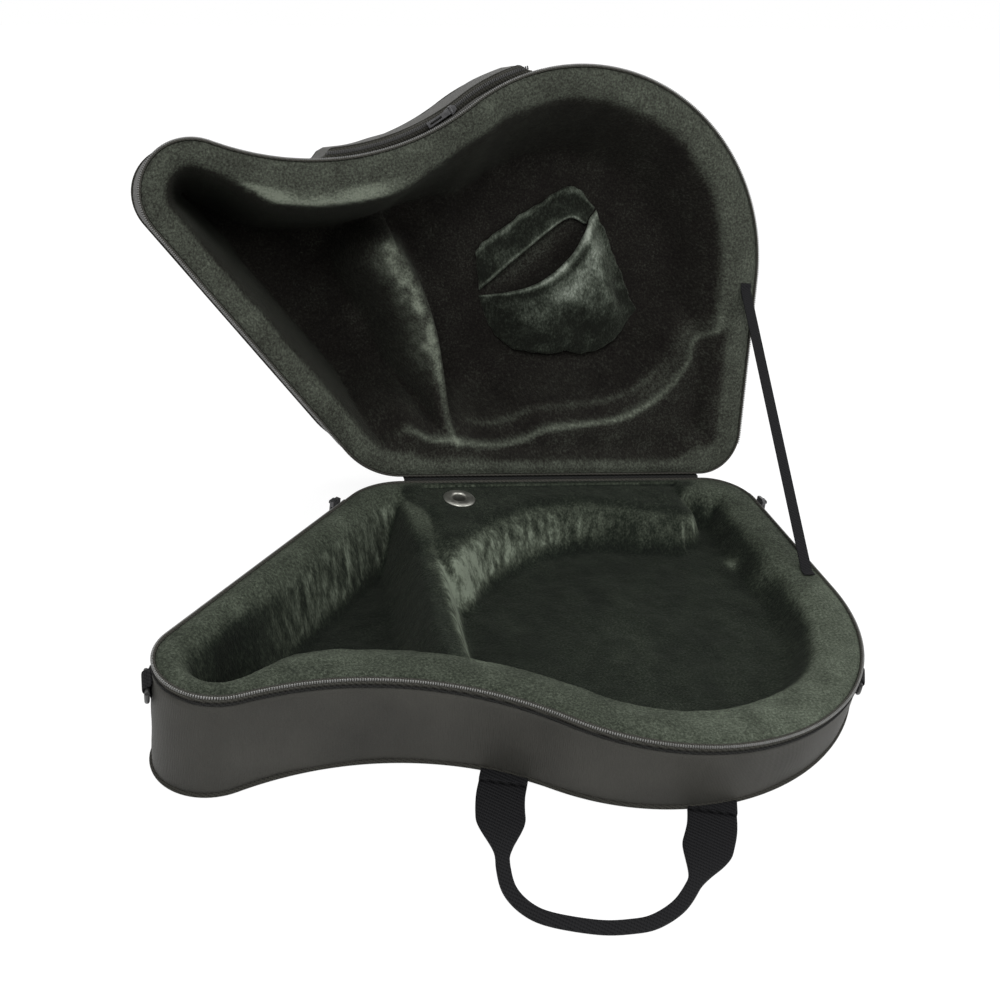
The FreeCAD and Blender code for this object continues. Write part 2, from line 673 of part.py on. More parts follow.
def handle(name):
    """The webbing loop: its roots turn on the X axis, it lies towards -Y and is thick along Z."""
    half, reach = size("handle_span") / 2, size("handle_reach")
    path = [V(x * half, -y * reach, 0) for x, y in LOOP_SHARES]
    loop = doc.addObject("Part::Extrusion", name + "_loop")
    loop.Base = polygon(name + "_plan", band_corners(path, size("handle_band")))
    loop.DirMode = "Custom"
    loop.Dir = V(0, 0, 1)
    loop.Solid = True
    bind(loop, "LengthFwd", "[handle_thick] / 2")
    bind(loop, "LengthRev", "[handle_thick] / 2")
    roots = []
    for side in (-1, 1):
        start = f"{side} * [handle_span] / 2 - [handle_root_width] / 2"
        root = doc.addObject("Part::Box", f"{name}_root_{'left' if side < 0 else 'right'}")
        bind(root, "Length", "[handle_root_width]")
        bind(root, "Width", "[handle_root_length]")
        bind(root, "Height", "[handle_thick]")
        bind(root, "Placement.Base.x", start)
        bind(root, "Placement.Base.y", "-[handle_root_length]")
        bind(root, "Placement.Base.z", "-[handle_thick] / 2")
        fold = doc.addObject("Part::Cylinder", f"{name}_fold_{'left' if side < 0 else 'right'}")
        bind(fold, "Radius", "[handle_thick] / 2")
        bind(fold, "Height", "[handle_root_width]")
        fold.Placement = FreeCAD.Placement(V(0, 0, 0), FreeCAD.Rotation(V(0, 1, 0), 90))
        bind(fold, "Placement.Base.x", start)
        roots += [root, fold]
    return fuse(name, loop, *roots)


def anchors(name, near, far, low, high):
    """The sewn ends of the webbing in the handle's frame, from near to far behind the turning axis."""
    pair = []
    for side in (-1, 1):
        plate = box(
            f"{name}_{'left' if side < 0 else 'right'}",
            (f"{side} * [handle_span] / 2 - [handle_root_width] / 2", near, low),
            (f"{side} * [handle_span] / 2 + [handle_root_width] / 2", far, high),
        )
        pair.append(plate)
    return fuse(name + "_pair", *pair)


HEADING = FreeCAD.Rotation(V(0, 0, 1), size("handle_heading"))
handle_middle = V(size("handle_centre_x"), -size("handle_centre_reach"), 0)
half_thick = size("handle_thick") / 2

# the base handle lies on the floor, with short webbing ends that meet the bottom piping
floor_place = BASE.multVec(handle_middle + V(0, 0, -size("base_depth")))
floor_place.z = half_thick
floor_frame = FreeCAD.Placement(floor_place, HEADING)
keep(handle("base_handle_loop"), "base_handle", floor_frame)
near = "[handle_thick] / 2 + [seat_gap]"
ends = anchors("base_ends", near, "60", "-[handle_thick] / 2", "[handle_thick] / 2")
ends.Placement = BASE.inverse().multiply(floor_frame)
keep(cut("base_ends_cut", ends, at_piping), "base_handle_anchors")

# the lid handle is sewn across the outer panel's edge and hangs down behind the open lid
LID_FALL = math.tan(math.radians(size("lid_taper")))
lid_leaning = FreeCAD.Rotation(V(0, 1, 0), size("lid_taper"))
panel_height = size("lid_depth") - LID_FALL * size("handle_centre_x")
on_panel = FreeCAD.Placement(handle_middle + V(0, 0, panel_height), lid_leaning)
turned_in = FreeCAD.Placement(HEADING.multVec(V(0, size("lid_handle_inset"), 0)), HEADING)
panel_frame = LID.multiply(on_panel).multiply(turned_in)
lid_ends = anchors("lid_ends", "-[handle_thick] / 2", "[anchor_length]", "0", "[anchor_thick]")
keep(lid_ends, "lid_handle_anchors", panel_frame)
axis_height = size("anchor_thick") + half_thick + size("lid_handle_lift")
axis_frame = panel_frame.multiply(FreeCAD.Placement(V(0, 0, axis_height), FreeCAD.Rotation()))
axis_line = axis_frame.Rotation.multVec(V(1, 0, 0))
down = V(0, 0, -1) - axis_line * V(0, 0, -1).dot(axis_line)
hanging = FreeCAD.Rotation(axis_line, down.normalize() * -1, V(0, 0, 0), "XYZ")
keep(handle("lid_handle_loop"), "lid_handle", FreeCAD.Placement(axis_frame.Base, hanging))


# ---------------------------------------------------------------- D-rings and their tabs
def ring_tab(name):
    """Folded webbing round the ring's bar: sewn face on Y = 0, outwards +Y, bar at the bottom along X."""
    body = new_body(name)
    sketch = body_sketch(body, name + "_section", "YZ_Plane")
    thick, tall = size("tab_thick"), size("tab_height")
    eye = size("ring_wire") + size("ring_clearance")
    outline_corners = [(0, 0), (thick, 0), (thick, eye * 3.2), (2.4, tall), (0, tall)]
    for index, corner in enumerate(outline_corners):
        following = outline_corners[(index + 1) % 5]
        sketch.addGeometry(Part.LineSegment(V(*corner, 0), V(*following, 0)), False)
    for index in range(5):
        sketch.addConstraint(Sketcher.Constraint("Coincident", index, 2, (index + 1) % 5, 1))
    hole = sketch.addGeometry(Part.Circle(V(thick / 2, eye * 1.7, 0), V(0, 0, 1), eye), False)
    index = sketch.addConstraint(Sketcher.Constraint("Radius", hole, eye))
    bind(sketch, f"Constraints[{index}]", "[ring_wire] + [ring_clearance]")
    pad = body.newObject("PartDesign::Pad", name + "_pad")
    pad.Profile = sketch
    bind(pad, "Length", "[ring_span] - 4 * [ring_wire]")
    pad.Midplane = True
    return body


def d_ring(name):
    """Wire ring: straight bar along X at the origin, bow towards -Z."""
    bar = doc.addObject("Part::Cylinder", name + "_bar")
    bind(bar, "Radius", "[ring_wire]")
    bind(bar, "Height", "[ring_span]")
    bar.Placement = FreeCAD.Placement(V(-size("ring_span") / 2, 0, 0), FreeCAD.Rotation(V(0, 1, 0), 90))
    bow = doc.addObject("Part::Torus", name + "_bow")
    bind(bow, "Radius1", "[ring_span] / 2")
    bind(bow, "Radius2", "[ring_wire]")
    bow.Angle3 = 180
    bow.Placement = FreeCAD.Placement(V(0, 0, 0), FreeCAD.Rotation(V(1, 0, 0), -90))
    return fuse(name, bar, bow)


def wall_place(centre, radius, bearing, z):
    """On an outline arc, outwards +Y and up +Z; bearing is from +X."""
    angle = math.radians(bearing)
    out = V(math.cos(angle), math.sin(angle), 0)
    turn = FreeCAD.Rotation(V(0, 0, 1), bearing - 90)
    spot = centre + out * (radius + size("seat_gap")) + V(0, 0, z)
    return BASE.multiply(FreeCAD.Placement(spot, turn))


eye = size("ring_wire") + size("ring_clearance")
ring_low = -size("zip_band") - size("tab_drop") - size("tab_height")
ring_bar = V(0, size("tab_thick") / 2, eye * 1.7)
for side, centre, radius, bearing, swing in (
    ("left", POINTS["centres"][1], size("bell_radius"), 180, 0),
    ("right", POINTS["centres"][3], size("lobe_radius"), -31, 5),
):
    place = wall_place(centre, radius, bearing, ring_low)
    keep(ring_tab(f"tab_{side}"), f"dring_tab_{side}", place)
    swung = FreeCAD.Rotation(V(1, 0, 0), swing)
    keep(d_ring(f"ring_{side}"), f"dring_{side}", place.multiply(FreeCAD.Placement(ring_bar, swung)))


# ---------------------------------------------------------------- zip sliders and pulls
# the slider's face to the middle of its bar
PIN_STAND = "[pin_radius] + [pin_clearance] + [knuckle_wall] + [seat_gap]"


def slider(name, across=False):
    """Slider body: its back on Y = 0, track along X; the pull's bar lies along the track or across it."""
    body = new_body(name)
    sketch = body_sketch(body, name + "_face", "XZ_Plane")
    half, tall = size("slider_length") / 2, size("slider_height") / 2
    corners = [(-half, -tall * 0.7), (half * 0.5, -tall), (half, -tall * 0.5)]
    corners += [(x, -z) for x, z in corners[::-1]]
    for index, corner in enumerate(corners):
        following = corners[(index + 1) % 6]
        sketch.addGeometry(Part.LineSegment(V(*corner, 0), V(*following, 0)), False)
    for index in range(6):
        sketch.addConstraint(Sketcher.Constraint("Coincident", index, 2, (index + 1) % 6, 1))
    pad = body.newObject("PartDesign::Pad", name + "_pad")
    pad.Profile = sketch
    bind(pad, "Length", "[slider_depth]")
    pad.Reversed = True
    doc.recompute()
    ears = []
    between = "[pull_width] + [ear_thick] + 2 * [pin_clearance]"
    for side in (-1, 1):
        ear = doc.addObject("Part::Box", f"{name}_ear_{'a' if side < 0 else 'b'}")
        bind(ear, "Length", "[ear_thick]")
        bind(ear, "Width", PIN_STAND + " + [pin_radius] + [seat_gap]")
        bind(ear, "Height", "2 * ([pin_radius] + [seat_gap])")
        bind(ear, "Placement.Base.x", f"{side} * ({between}) / 2 - [ear_thick] / 2")
        bind(ear, "Placement.Base.y", "[slider_depth]")
        bind(ear, "Placement.Base.z", "-[pin_radius] - [seat_gap]")
        ears.append(ear)
    bar = doc.addObject("Part::Cylinder", name + "_bar")
    bind(bar, "Radius", "[pin_radius]")
    bind(bar, "Height", between)
    bar.Placement = FreeCAD.Placement(V(0, 0, 0), FreeCAD.Rotation(V(0, 1, 0), 90))
    bind(bar, "Placement.Base.x", f"-({between}) / 2")
    bind(bar, "Placement.Base.y", "[slider_depth] + " + PIN_STAND)
    bridge = fuse(name + "_bridge", bar, *ears)
    bridge.Placement = FreeCAD.Placement(V(0, 0, 0), FreeCAD.Rotation(V(0, 1, 0), 90 if across else 0))
    return fuse(name + "_whole", body, bridge)


def pull(name):
    """Zip pull: eye round the X axis at the origin, tongue towards -Z."""
    tongue = doc.addObject("Part::Box", name + "_tongue")
    bind(tongue, "Length", "[pull_width]")
    bind(tongue, "Width", "[pull_thick]")
    bind(tongue, "Height", "[pull_length]")
    bind(tongue, "Placement.Base.x", "-[pull_width] / 2")
    bind(tongue, "Placement.Base.y", "-[pull_thick] / 2")
    bind(tongue, "Placement.Base.z", "-[pull_length]")
    knuckle = doc.addObject("Part::Cylinder", name + "_knuckle")
    bind(knuckle, "Radius", "[pin_radius] + [pin_clearance] + [knuckle_wall]")
    bind(knuckle, "Height", "[pull_width]")
    crossways = FreeCAD.Rotation(V(0, 1, 0), 90)
    knuckle.Placement = FreeCAD.Placement(V(-size("pull_width") / 2, 0, 0), crossways)
    hole = doc.addObject("Part::Cylinder", name + "_eye")
    bind(hole, "Radius", "[pin_radius] + [pin_clearance]")
    hole.Height = 40
    hole.Placement = FreeCAD.Placement(V(-20, 0, 0), crossways)
    window = doc.addObject("Part::Box", name + "_window")
    bind(window, "Length", "[pull_width] - 3.2")
    bind(window, "Width", "10")
    bind(window, "Height", "[pull_length] * 0.5")
    bind(window, "Placement.Base.x", "1.6 - [pull_width] / 2")
    bind(window, "Placement.Base.y", "-5")
    bind(window, "Placement.Base.z", "2.5 - [pull_length]")
    return cut(name, fuse(name + "_blank", tongue, knuckle), fuse(name + "_cuts", hole, window))


def track_place(first, last, reach, out_by, frame, z=0.0):
    """On the straight track from first to last, where it is reach mm in front of the hinge; +Y outwards."""
    share = (-reach - first.y) / (last.y - first.y)
    point = first + (last - first) * share
    heading = V(last - first).normalize()
    out = V(heading.y, -heading.x, 0)
    turn = FreeCAD.Rotation(V(0, 0, 1), math.degrees(math.atan2(out.y, out.x)) - 90)
    return frame.multiply(FreeCAD.Placement(point + out * out_by + V(0, 0, z), turn))


pin_stand = size("pin_radius") + size("pin_clearance") + size("knuckle_wall") + size("seat_gap")
pin_out = V(0, size("slider_depth") + pin_stand, 0)
chain_out = size("chain_proud") + size("slider_gap")
tracks = {
    "left": (POINTS["bell"][0], POINTS["left"][1], size("left_slider_reach")),
    "right": (POINTS["right"][0], POINTS["lobe"][1], size("right_slider_reach")),
}
for side, (first, last, reach) in tracks.items():
    # the parting plane's tilt lets the right pull swing clear of the wall
    hang = FreeCAD.Rotation(V(1, 0, 0), TILT if side == "right" else 0)
    place = track_place(first, last, reach, chain_out, BASE)
    if (place.Rotation.multVec(V(0, 1, 0)).x > 0) != (side == "right"):
        place = track_place(last, first, reach, chain_out, BASE)
    keep(slider(f"slider_{side}"), f"zip_slider_{side}", place)
    keep(pull(f"pull_{side}"), f"zip_pull_{side}", place.multiply(FreeCAD.Placement(pin_out, hang)))

# ---------------------------------------------------------------- outer pocket on the lid's front wall
pocket_stretch = box("pocket_stretch", ("[pocket_left]", "-600", "-400"), ("[pocket_right]", "-270", "400"))
pocket_slab = slab("pocket_slab", level("[pocket_top]"), level("[pocket_top] + [pocket_height]"))
pocket_block = common("pocket_block", cut("pocket_ring", at_pocket, at_cover), pocket_slab, pocket_stretch)
room_stretch = box(
    "pocket_room_stretch",
    ("[pocket_left] + [pocket_skin]", "-600", "-400"),
    ("[pocket_right] - [pocket_skin]", "-270", "400"),
)
room_top = level("[pocket_top] + [pocket_height] - [pocket_skin]")
room_slab = slab("pocket_room_slab", level("[pocket_top] - 5"), room_top)
room_block = common("pocket_room", at_pocket_room, room_slab, room_stretch)
keep(cut("pocket_cut", pocket_block, room_block), "lid_pocket_panel", LID)
zip_slab = slab("pocket_zip_slab", level("[pocket_top] - [pocket_zip_thick]"), level("[pocket_top]"))
keep(
    common("pocket_zip_cut", cut("pocket_zip_ring", at_pocket, at_cover), zip_slab, pocket_stretch),
    "lid_pocket_zip",
    LID,
)

# the pocket's slider runs on the waist arc, on the side of the zip that faces the parting plane
WAIST = POINTS["centres"][2]
slider_radius = size("waist_radius") - size("pocket_proud") / 2
bearing = math.degrees(math.asin((size("pocket_slider_x") - WAIST.x) / slider_radius))
spot = WAIST + FreeCAD.Rotation(V(0, 0, 1), -bearing).multVec(V(0, slider_radius, 0))
spot.z = size("pocket_top") - size("pocket_zip_thick") - size("slider_gap")
facing = FreeCAD.Rotation(V(0, 0, 1), -bearing).multiply(FreeCAD.Rotation(V(1, 0, 0), -90))
pocket_place = LID.multiply(FreeCAD.Placement(spot, facing))
keep(slider("slider_pocket", across=True), "pocket_slider", pocket_place)
lying_along = FreeCAD.Rotation(V(0, 1, 0), 90)
pull_place = pocket_place.multiply(FreeCAD.Placement(pin_out, lying_along))
keep(pull("pull_pocket"), "pocket_pull", pull_place)

# ---------------------------------------------------------------- inner pouch in the lid
blank = box(
    "pouch_blank",
    ("-[pouch_width] / 2", "-[pouch_length] / 2", "-[pouch_depth]"),
    ("[pouch_width] / 2", "[pouch_length] / 2", "0"),
)
mouth = box(
    "pouch_mouth",
    ("[pouch_wall] - [pouch_width] / 2", "-[pouch_length]", "[pouch_wall] - [pouch_depth]"),
    ("[pouch_width] / 2 - [pouch_wall]", "[pouch_length] / 2 - [pouch_wall]", "-[pouch_wall]"),
)
pouch = cut("pouch_solid", blank, mouth)
lining_under = size("cover_skin") + size("shell_wall") + size("pad_floor")
pad_height = size("lid_depth") - lining_under - LID_FALL * size("pouch_x")
pouch_middle = V(size("pouch_x"), -size("pouch_reach"), pad_height)
on_pad = FreeCAD.Placement(pouch_middle, lid_leaning)
turned = FreeCAD.Placement(V(0, 0, 0), FreeCAD.Rotation(V(0, 0, 1), -size("pouch_turn")))
keep(pouch, "lid_pouch", LID.multiply(on_pad).multiply(turned))

# ---------------------------------------------------------------- checks and export
doc.recompute()
for obj in doc.Objects:
    if "Invalid" in obj.State or "Error" in obj.State:
        raise RuntimeError(f"{obj.Label} failed: {obj.State}")
for part in SUBPARTS:
    if part.Shape.isNull() or not part.Shape.isValid() or not part.Shape.Solids:
        raise RuntimeError(f"{part.Label} has no valid solid")
for part in SUBPARTS:
    part.Shape.exportStep(f"parts/{part.Label}.step")
    extent = part.Shape.optimalBoundingBox()
    sides = f"{extent.XLength:.1f} x {extent.YLength:.1f} x {extent.ZLength:.1f} mm"
    print(f"{part.Label:22s} {sides}, {part.Shape.Volume / 1000:.2f} cm3")
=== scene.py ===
"""The looks of an open, zip-round, plush-lined horn case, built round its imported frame.

Sizes here are millimetres in the case frame: X along the hinge, Y to the back, Z = 0 on the plane where
the two halves meet. place() turns them into metres in the row frame.
"""
import json
import math

import bmesh
import bpy
import numpy as np
from mathutils import Matrix, Vector, geometry, noise


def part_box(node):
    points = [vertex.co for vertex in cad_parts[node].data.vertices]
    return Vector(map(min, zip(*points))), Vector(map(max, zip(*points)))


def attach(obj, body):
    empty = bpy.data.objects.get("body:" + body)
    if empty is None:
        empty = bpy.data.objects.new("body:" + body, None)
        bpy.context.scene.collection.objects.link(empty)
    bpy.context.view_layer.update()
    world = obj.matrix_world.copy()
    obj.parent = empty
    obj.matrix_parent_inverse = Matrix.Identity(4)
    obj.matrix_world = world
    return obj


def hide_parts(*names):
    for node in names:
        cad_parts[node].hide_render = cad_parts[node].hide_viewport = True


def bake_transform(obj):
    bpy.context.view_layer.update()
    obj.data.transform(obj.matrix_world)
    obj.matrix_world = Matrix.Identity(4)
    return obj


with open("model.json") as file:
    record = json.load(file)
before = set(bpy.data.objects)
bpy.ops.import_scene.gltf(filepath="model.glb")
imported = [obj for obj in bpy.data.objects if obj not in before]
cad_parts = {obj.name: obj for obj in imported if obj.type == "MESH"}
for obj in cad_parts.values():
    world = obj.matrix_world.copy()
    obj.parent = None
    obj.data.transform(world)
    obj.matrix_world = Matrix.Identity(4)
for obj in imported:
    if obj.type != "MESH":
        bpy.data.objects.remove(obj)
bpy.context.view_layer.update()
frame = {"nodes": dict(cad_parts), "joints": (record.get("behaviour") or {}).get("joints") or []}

MM = 0.001
JOINTS = {joint["name"]: joint for joint in frame["joints"]}

# ---- driving sizes, as in the frame
LOBE, LOBE_RADIUS = np.array([120.2, -215.7]), 199.8
BELL, BELL_RADIUS = np.array([-270.4, -268.0]), 49.6
LEFT, LEFT_RADIUS = np.array([-64.5, -77.3]), 77.3
RIGHT, RIGHT_RADIUS = np.array([273.3, -45.2]), 45.2
WAIST_RADIUS = 271.4
BASE_DEPTH, LID_DEPTH = 77.3, 156.0
BASE_TILT, LID_TAPER = 5.5, 16.2
BASE_SLOPE, LID_SLOPE = math.tan(math.radians(BASE_TILT)), math.tan(math.radians(LID_TAPER))
LINING_UNDER = 14.5
ZIP_BAND = 10.0
ZIP_END = 34.0
SHELF_DROP = 4.0

# ---- frames
ORIGIN = (0, (LOBE_RADIUS - LOBE[1]) / 2, BASE_DEPTH)
BASE = Matrix.Rotation(math.radians(BASE_TILT), 4, "Y") @ Matrix.Translation(ORIGIN)
HINGE = Vector((0, 2.2, 0))
OPENING = math.radians(JOINTS["lid_hinge"]["range_deg"][1])
LID_TURN = Matrix.Translation(HINGE) @ Matrix.Rotation(-OPENING, 4, "X") @ Matrix.Translation(-HINGE)
LID = BASE @ LID_TURN
WHERE = {"base": BASE, "lid": LID}


def place(points, where):
    """Case-frame millimetres to row-frame metres."""
    points = np.asarray(points, float).reshape(-1, 3)
    turn = np.array(where.to_3x3())
    return (points @ turn.T + np.array(where.translation)) * MM


def sign_of(side):
    """Which way a half goes from the parting plane."""
    return -1 if side == "base" else 1


def outer_plane(side, points, inside=0.0):
    """Height of the outer panel's face over plan points, moved inwards."""
    if side == "base":
        return -BASE_DEPTH + inside + BASE_SLOPE * points[:, 0]
    return LID_DEPTH - inside - LID_SLOPE * points[:, 0]


# ---- meshes
def linked(name, mesh, material, smooth=True):
    """A piece made of a mesh, with one material."""
    mesh.materials.append(material)
    mesh.polygons.foreach_set("use_smooth", [smooth] * len(mesh.polygons))
    mesh.update()
    piece = bpy.data.objects.new(name, mesh)
    bpy.context.scene.collection.objects.link(piece)
    return piece


def new_mesh(name, points, faces, material, smooth=True):
    """A mesh piece from row-frame metres."""
    mesh = bpy.data.meshes.new(name)
    mesh.from_pydata([tuple(point) for point in points], [], [tuple(face) for face in faces])
    return linked(name, mesh, material, smooth)


def solid(name, points, faces, material):
    """A closed smooth piece with its faces turned outwards."""
    piece = new_mesh(name, points, faces, material)
    made = bmesh.new()
    made.from_mesh(piece.data)
    bmesh.ops.recalc_face_normals(made, faces=made.faces)
    made.to_mesh(piece.data)
    made.free()
    return piece


def grid_faces(rows, columns, loop_rows=False, loop_columns=False):
    """Quads of a grid of points stored row by row."""
    faces = []
    for row in range(rows if loop_rows else rows - 1):
        here, below = row * columns, (row + 1) % rows * columns
        for column in range(columns if loop_columns else columns - 1):
            beside = (column + 1) % columns
            faces.append([here + column, here + beside, below + beside, below + column])
    return faces


def capped_faces(rows, columns):
    """Quads of a tube made of closed rows, and a cap on each end."""
    last = (rows - 1) * columns
    caps = [list(range(columns)), list(range(last, last + columns))[::-1]]
    return grid_faces(rows, columns, loop_columns=True) + caps


def finish_piece(piece, body, slot, *nodes, padded=None):
    """Rides and replaces a piece in one go."""
    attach(piece, body)
    if nodes:
        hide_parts(*nodes)
    return piece


# ---- the plan outline
def unit(vector):
    return vector / np.linalg.norm(vector)


def external_tangent(ca, ra, cb, rb, side):
    """Ends of the line that touches two circles on the same side."""
    line = cb - ca
    along = unit(line)
    across = np.array([-along[1], along[0]]) * side
    cosine = (ra - rb) / np.linalg.norm(line)
    normal = along * cosine + across * math.sqrt(1 - cosine**2)
    return ca + normal * ra, cb + normal * rb


def waist_centre():
    """The waist arc touches the bell's and the lobe's circles from outside."""
    to_bell, to_lobe = BELL_RADIUS + WAIST_RADIUS, LOBE_RADIUS + WAIST_RADIUS
    line = LOBE - BELL
    length = np.linalg.norm(line)
    along = (length**2 + to_bell**2 - to_lobe**2) / (2 * length)
    direction = line / length
    across = np.array([direction[1], -direction[0]])
    return BELL + direction * along + across * math.sqrt(to_bell**2 - along**2)


WAIST = waist_centre()


def arc(centre, start, end, step, outward=1):
    """Points and outward normals along the shorter arc from start towards end, without the end."""
    radius = np.linalg.norm(start - centre)
    first = math.atan2(*(start - centre)[::-1])
    turn = (math.atan2(*(end - centre)[::-1]) - first + math.pi) % (2 * math.pi) - math.pi
    if centre is LOBE:
        turn = turn % (2 * math.pi)
    count = max(2, round(abs(turn) * radius / step))
    angles = first + turn * np.arange(count) / count
    normals = np.stack([np.cos(angles), np.sin(angles)], 1)
    return centre + normals * radius, normals * outward


def straight(start, end, step):
    """Points and outward normals along a line, without the end."""
    heading = unit(end - start)
    count = max(2, round(np.linalg.norm(end - start) / step))
    shares = np.arange(count)[:, None] / count
    normals = np.tile([heading[1], -heading[0]], (count, 1))
    return start + (end - start) * shares, normals


def outline(step=4.0):
    """The plan, anticlockwise from above, from the hinge's right end.

    Gives its points, their outward normals and how many of them lie along the hinge.
    """
    bell_diag, left_diag = external_tangent(BELL, BELL_RADIUS, LEFT, LEFT_RADIUS, 1)
    lobe_side, right_side = external_tangent(LOBE, LOBE_RADIUS, RIGHT, RIGHT_RADIUS, -1)
    bell_waist = BELL + unit(WAIST - BELL) * BELL_RADIUS
    lobe_waist = LOBE + unit(WAIST - LOBE) * LOBE_RADIUS
    back_left, back_right = np.array([LEFT[0], 0.0]), np.array([RIGHT[0], 0.0])
    parts = [
        straight(back_right, back_left, step),
        arc(LEFT, back_left, left_diag, step),
        straight(left_diag, bell_diag, step),
        arc(BELL, bell_diag, bell_waist, step),
        arc(WAIST, bell_waist, lobe_waist, step, outward=-1),
        arc(LOBE, lobe_waist, lobe_side, step),
        straight(lobe_side, right_side, step),
        arc(RIGHT, right_side, back_right, step),
    ]
    points = np.concatenate([part[0] for part in parts])
    normals = np.concatenate([part[1] for part in parts])
    return points, normals, len(parts[0][0])


PLAN, PLAN_OUT, _ = outline()
FINE, FINE_OUT, FINE_HINGE = outline(1.5)


def signed(points, line, normals):
    """Distance of plan points from a line, positive on the side its normals point from."""
    found = np.empty(len(points))
    for start in range(0, len(points), 2000):
        block = points[start:start + 2000]
        nearest = nearest_on(block, line)[1]
        gap = block - line[nearest]
        found[start:start + 2000] = np.hypot(*gap.T) * np.sign(-(gap * normals[nearest]).sum(1))
    return found


def nearest_on(points, line):
    """How far each plan point is from a line's nearest point, and which one that is."""
    gaps = ((points[:, None, :] - line[None, :, :2]) ** 2).sum(2)
    return np.sqrt(gaps.min(1)), gaps.argmin(1)


def inset_of(points):
    """How far plan points are inside the outline."""
    return signed(points, FINE, FINE_OUT)


def off_hinge_of(points):
    """How far plan points are inside the outline, leaving out its side on the hinge."""
    return signed(points, FINE[FINE_HINGE:], FINE_OUT[FINE_HINGE:])


def curve(corners, step=3.0, closed=False):
    """A smooth line through a few corners (Catmull-Rom), any number of columns."""
    corners = np.asarray(corners, float)
    count = len(corners)
    made = []
    for index in range(count if closed else count - 1):
        if closed:
            a, b, c, d = (corners[(index + shift) % count] for shift in (-1, 0, 1, 2))
        else:
            b, c = corners[index], corners[index + 1]
            a = corners[index - 1] if index else 2 * b - c
            d = corners[index + 2] if index + 2 < count else 2 * c - b
        pieces = max(2, round(np.linalg.norm((c - b)[:2]) / step))
        for share in np.arange(pieces) / pieces:
            made.append(
                0.5 * (2 * b + (c - a) * share + (2 * a - 5 * b + 4 * c - d) * share**2
                       + (3 * b - a - 3 * c + d) * share**3)
            )
    if not closed:
        made.append(corners[-1])
    return np.array(made)


def closed_normals(line):
    """Outward normals of a closed anticlockwise line."""
    along = np.roll(line, -1, 0) - np.roll(line, 1, 0)
    along /= np.linalg.norm(along, axis=1)[:, None]
    return np.stack([along[:, 1], -along[:, 0]], 1)


def headings(line):
    """Unit directions along a line, at each of its points."""
    along = np.concatenate([line[1:], line[-1:]]) - np.concatenate([line[:1], line[:-1]])
    return along / np.linalg.norm(along, axis=1)[:, None]


def softly(low, high, value):
    """0 below low, 1 above high, and a smooth S between."""
    share = np.clip((value - low) / (high - low), 0, 1)
    return share * share * (3 - 2 * share)


def both(a, b, blend=5.0):
    """The higher of two heights, rounded where they meet."""
    share = np.clip(0.5 + (a - b) / (2 * blend), 0, 1)
    return b * (1 - share) + a * share + blend * share * (1 - share)


# ---- materials
def shader(name, rough, metallic=0.0, specular=0.5, sheen=0.0):
    """A material whose plain numbers are set on its own surface shader."""
    material = bpy.data.materials.new(name)
    material.use_nodes = True
    nodes, links = material.node_tree.nodes, material.node_tree.links
    surface = nodes["Principled BSDF"]
    surface.inputs["Roughness"].default_value = rough
    surface.inputs["Metallic"].default_value = metallic
    surface.inputs["Specular IOR Level"].default_value = specular
    surface.inputs["Sheen Weight"].default_value = sheen
    return material, nodes, links, surface


def node(nodes, kind, **values):
    """A new node: each value goes to the input of that name, or else to the node's own setting."""
    made = nodes.new(kind)
    for key, value in values.items():
        if key in made.inputs:
            made.inputs[key].default_value = value
        else:
            setattr(made, key, value)
    return made


def object_place(nodes, links, scale=(1, 1, 1)):
    """Texture place from the piece's own metres, stretched."""
    where = nodes.new("ShaderNodeTexCoord")
    mapping = nodes.new("ShaderNodeMapping")
    mapping.inputs["Scale"].default_value = scale
    links.new(where.outputs["Object"], mapping.inputs["Vector"])
    return mapping.outputs["Vector"]


def noise_of(nodes, links, place_socket, scale, detail=3.0, rough=0.55):
    made = node(nodes, "ShaderNodeTexNoise", Scale=scale, Detail=detail, Roughness=rough)
    links.new(place_socket, made.inputs["Vector"])
    return made.outputs["Fac"]


def ramp_of(nodes, links, factor, stops):
    """A colour ramp through (position, colour) stops."""
    made = nodes.new("ShaderNodeValToRGB")
    elements = made.color_ramp.elements
    for element, (position, colour) in zip(elements, (stops[0], stops[-1])):
        element.position, element.color = position, (*colour, 1)
    for position, colour in stops[1:-1]:
        elements.new(position).color = (*colour, 1)
    links.new(factor, made.inputs["Fac"])
    return made.outputs["Color"]


def sum_of(nodes, links, first, second, weight=1.0):
    """The first value plus the second times its weight."""
    made = node(nodes, "ShaderNodeMath", operation="MULTIPLY_ADD")
    made.inputs[1].default_value = weight
    links.new(second, made.inputs[0])
    links.new(first, made.inputs[2])
    return made.outputs[0]


def bumped(nodes, links, surface, height, strength, depth):
    bump = node(nodes, "ShaderNodeBump", Strength=strength, Distance=depth)
    links.new(height, bump.inputs["Height"])
    links.new(bump.outputs["Normal"], surface.inputs["Normal"])


def waves_of(nodes, links, place_socket, axis, period, distortion=0.0):
    """Threads across one axis, a period apart."""
    made = node(nodes, "ShaderNodeTexWave", Scale=1 / period / 20 * 2 * math.pi, Distortion=distortion)
    made.wave_type, made.bands_direction = "BANDS", axis
    links.new(place_socket, made.inputs["Vector"])
    return made.outputs["Fac"]


# tones are scaled and shifted so that every stop lies on the colour ramp, from 0 to 1
TONE_SCALE, TONE_SHIFT = 0.42, 0.44
PATCH_WEIGHT, PILE_WEIGHT = 0.34, 1.3


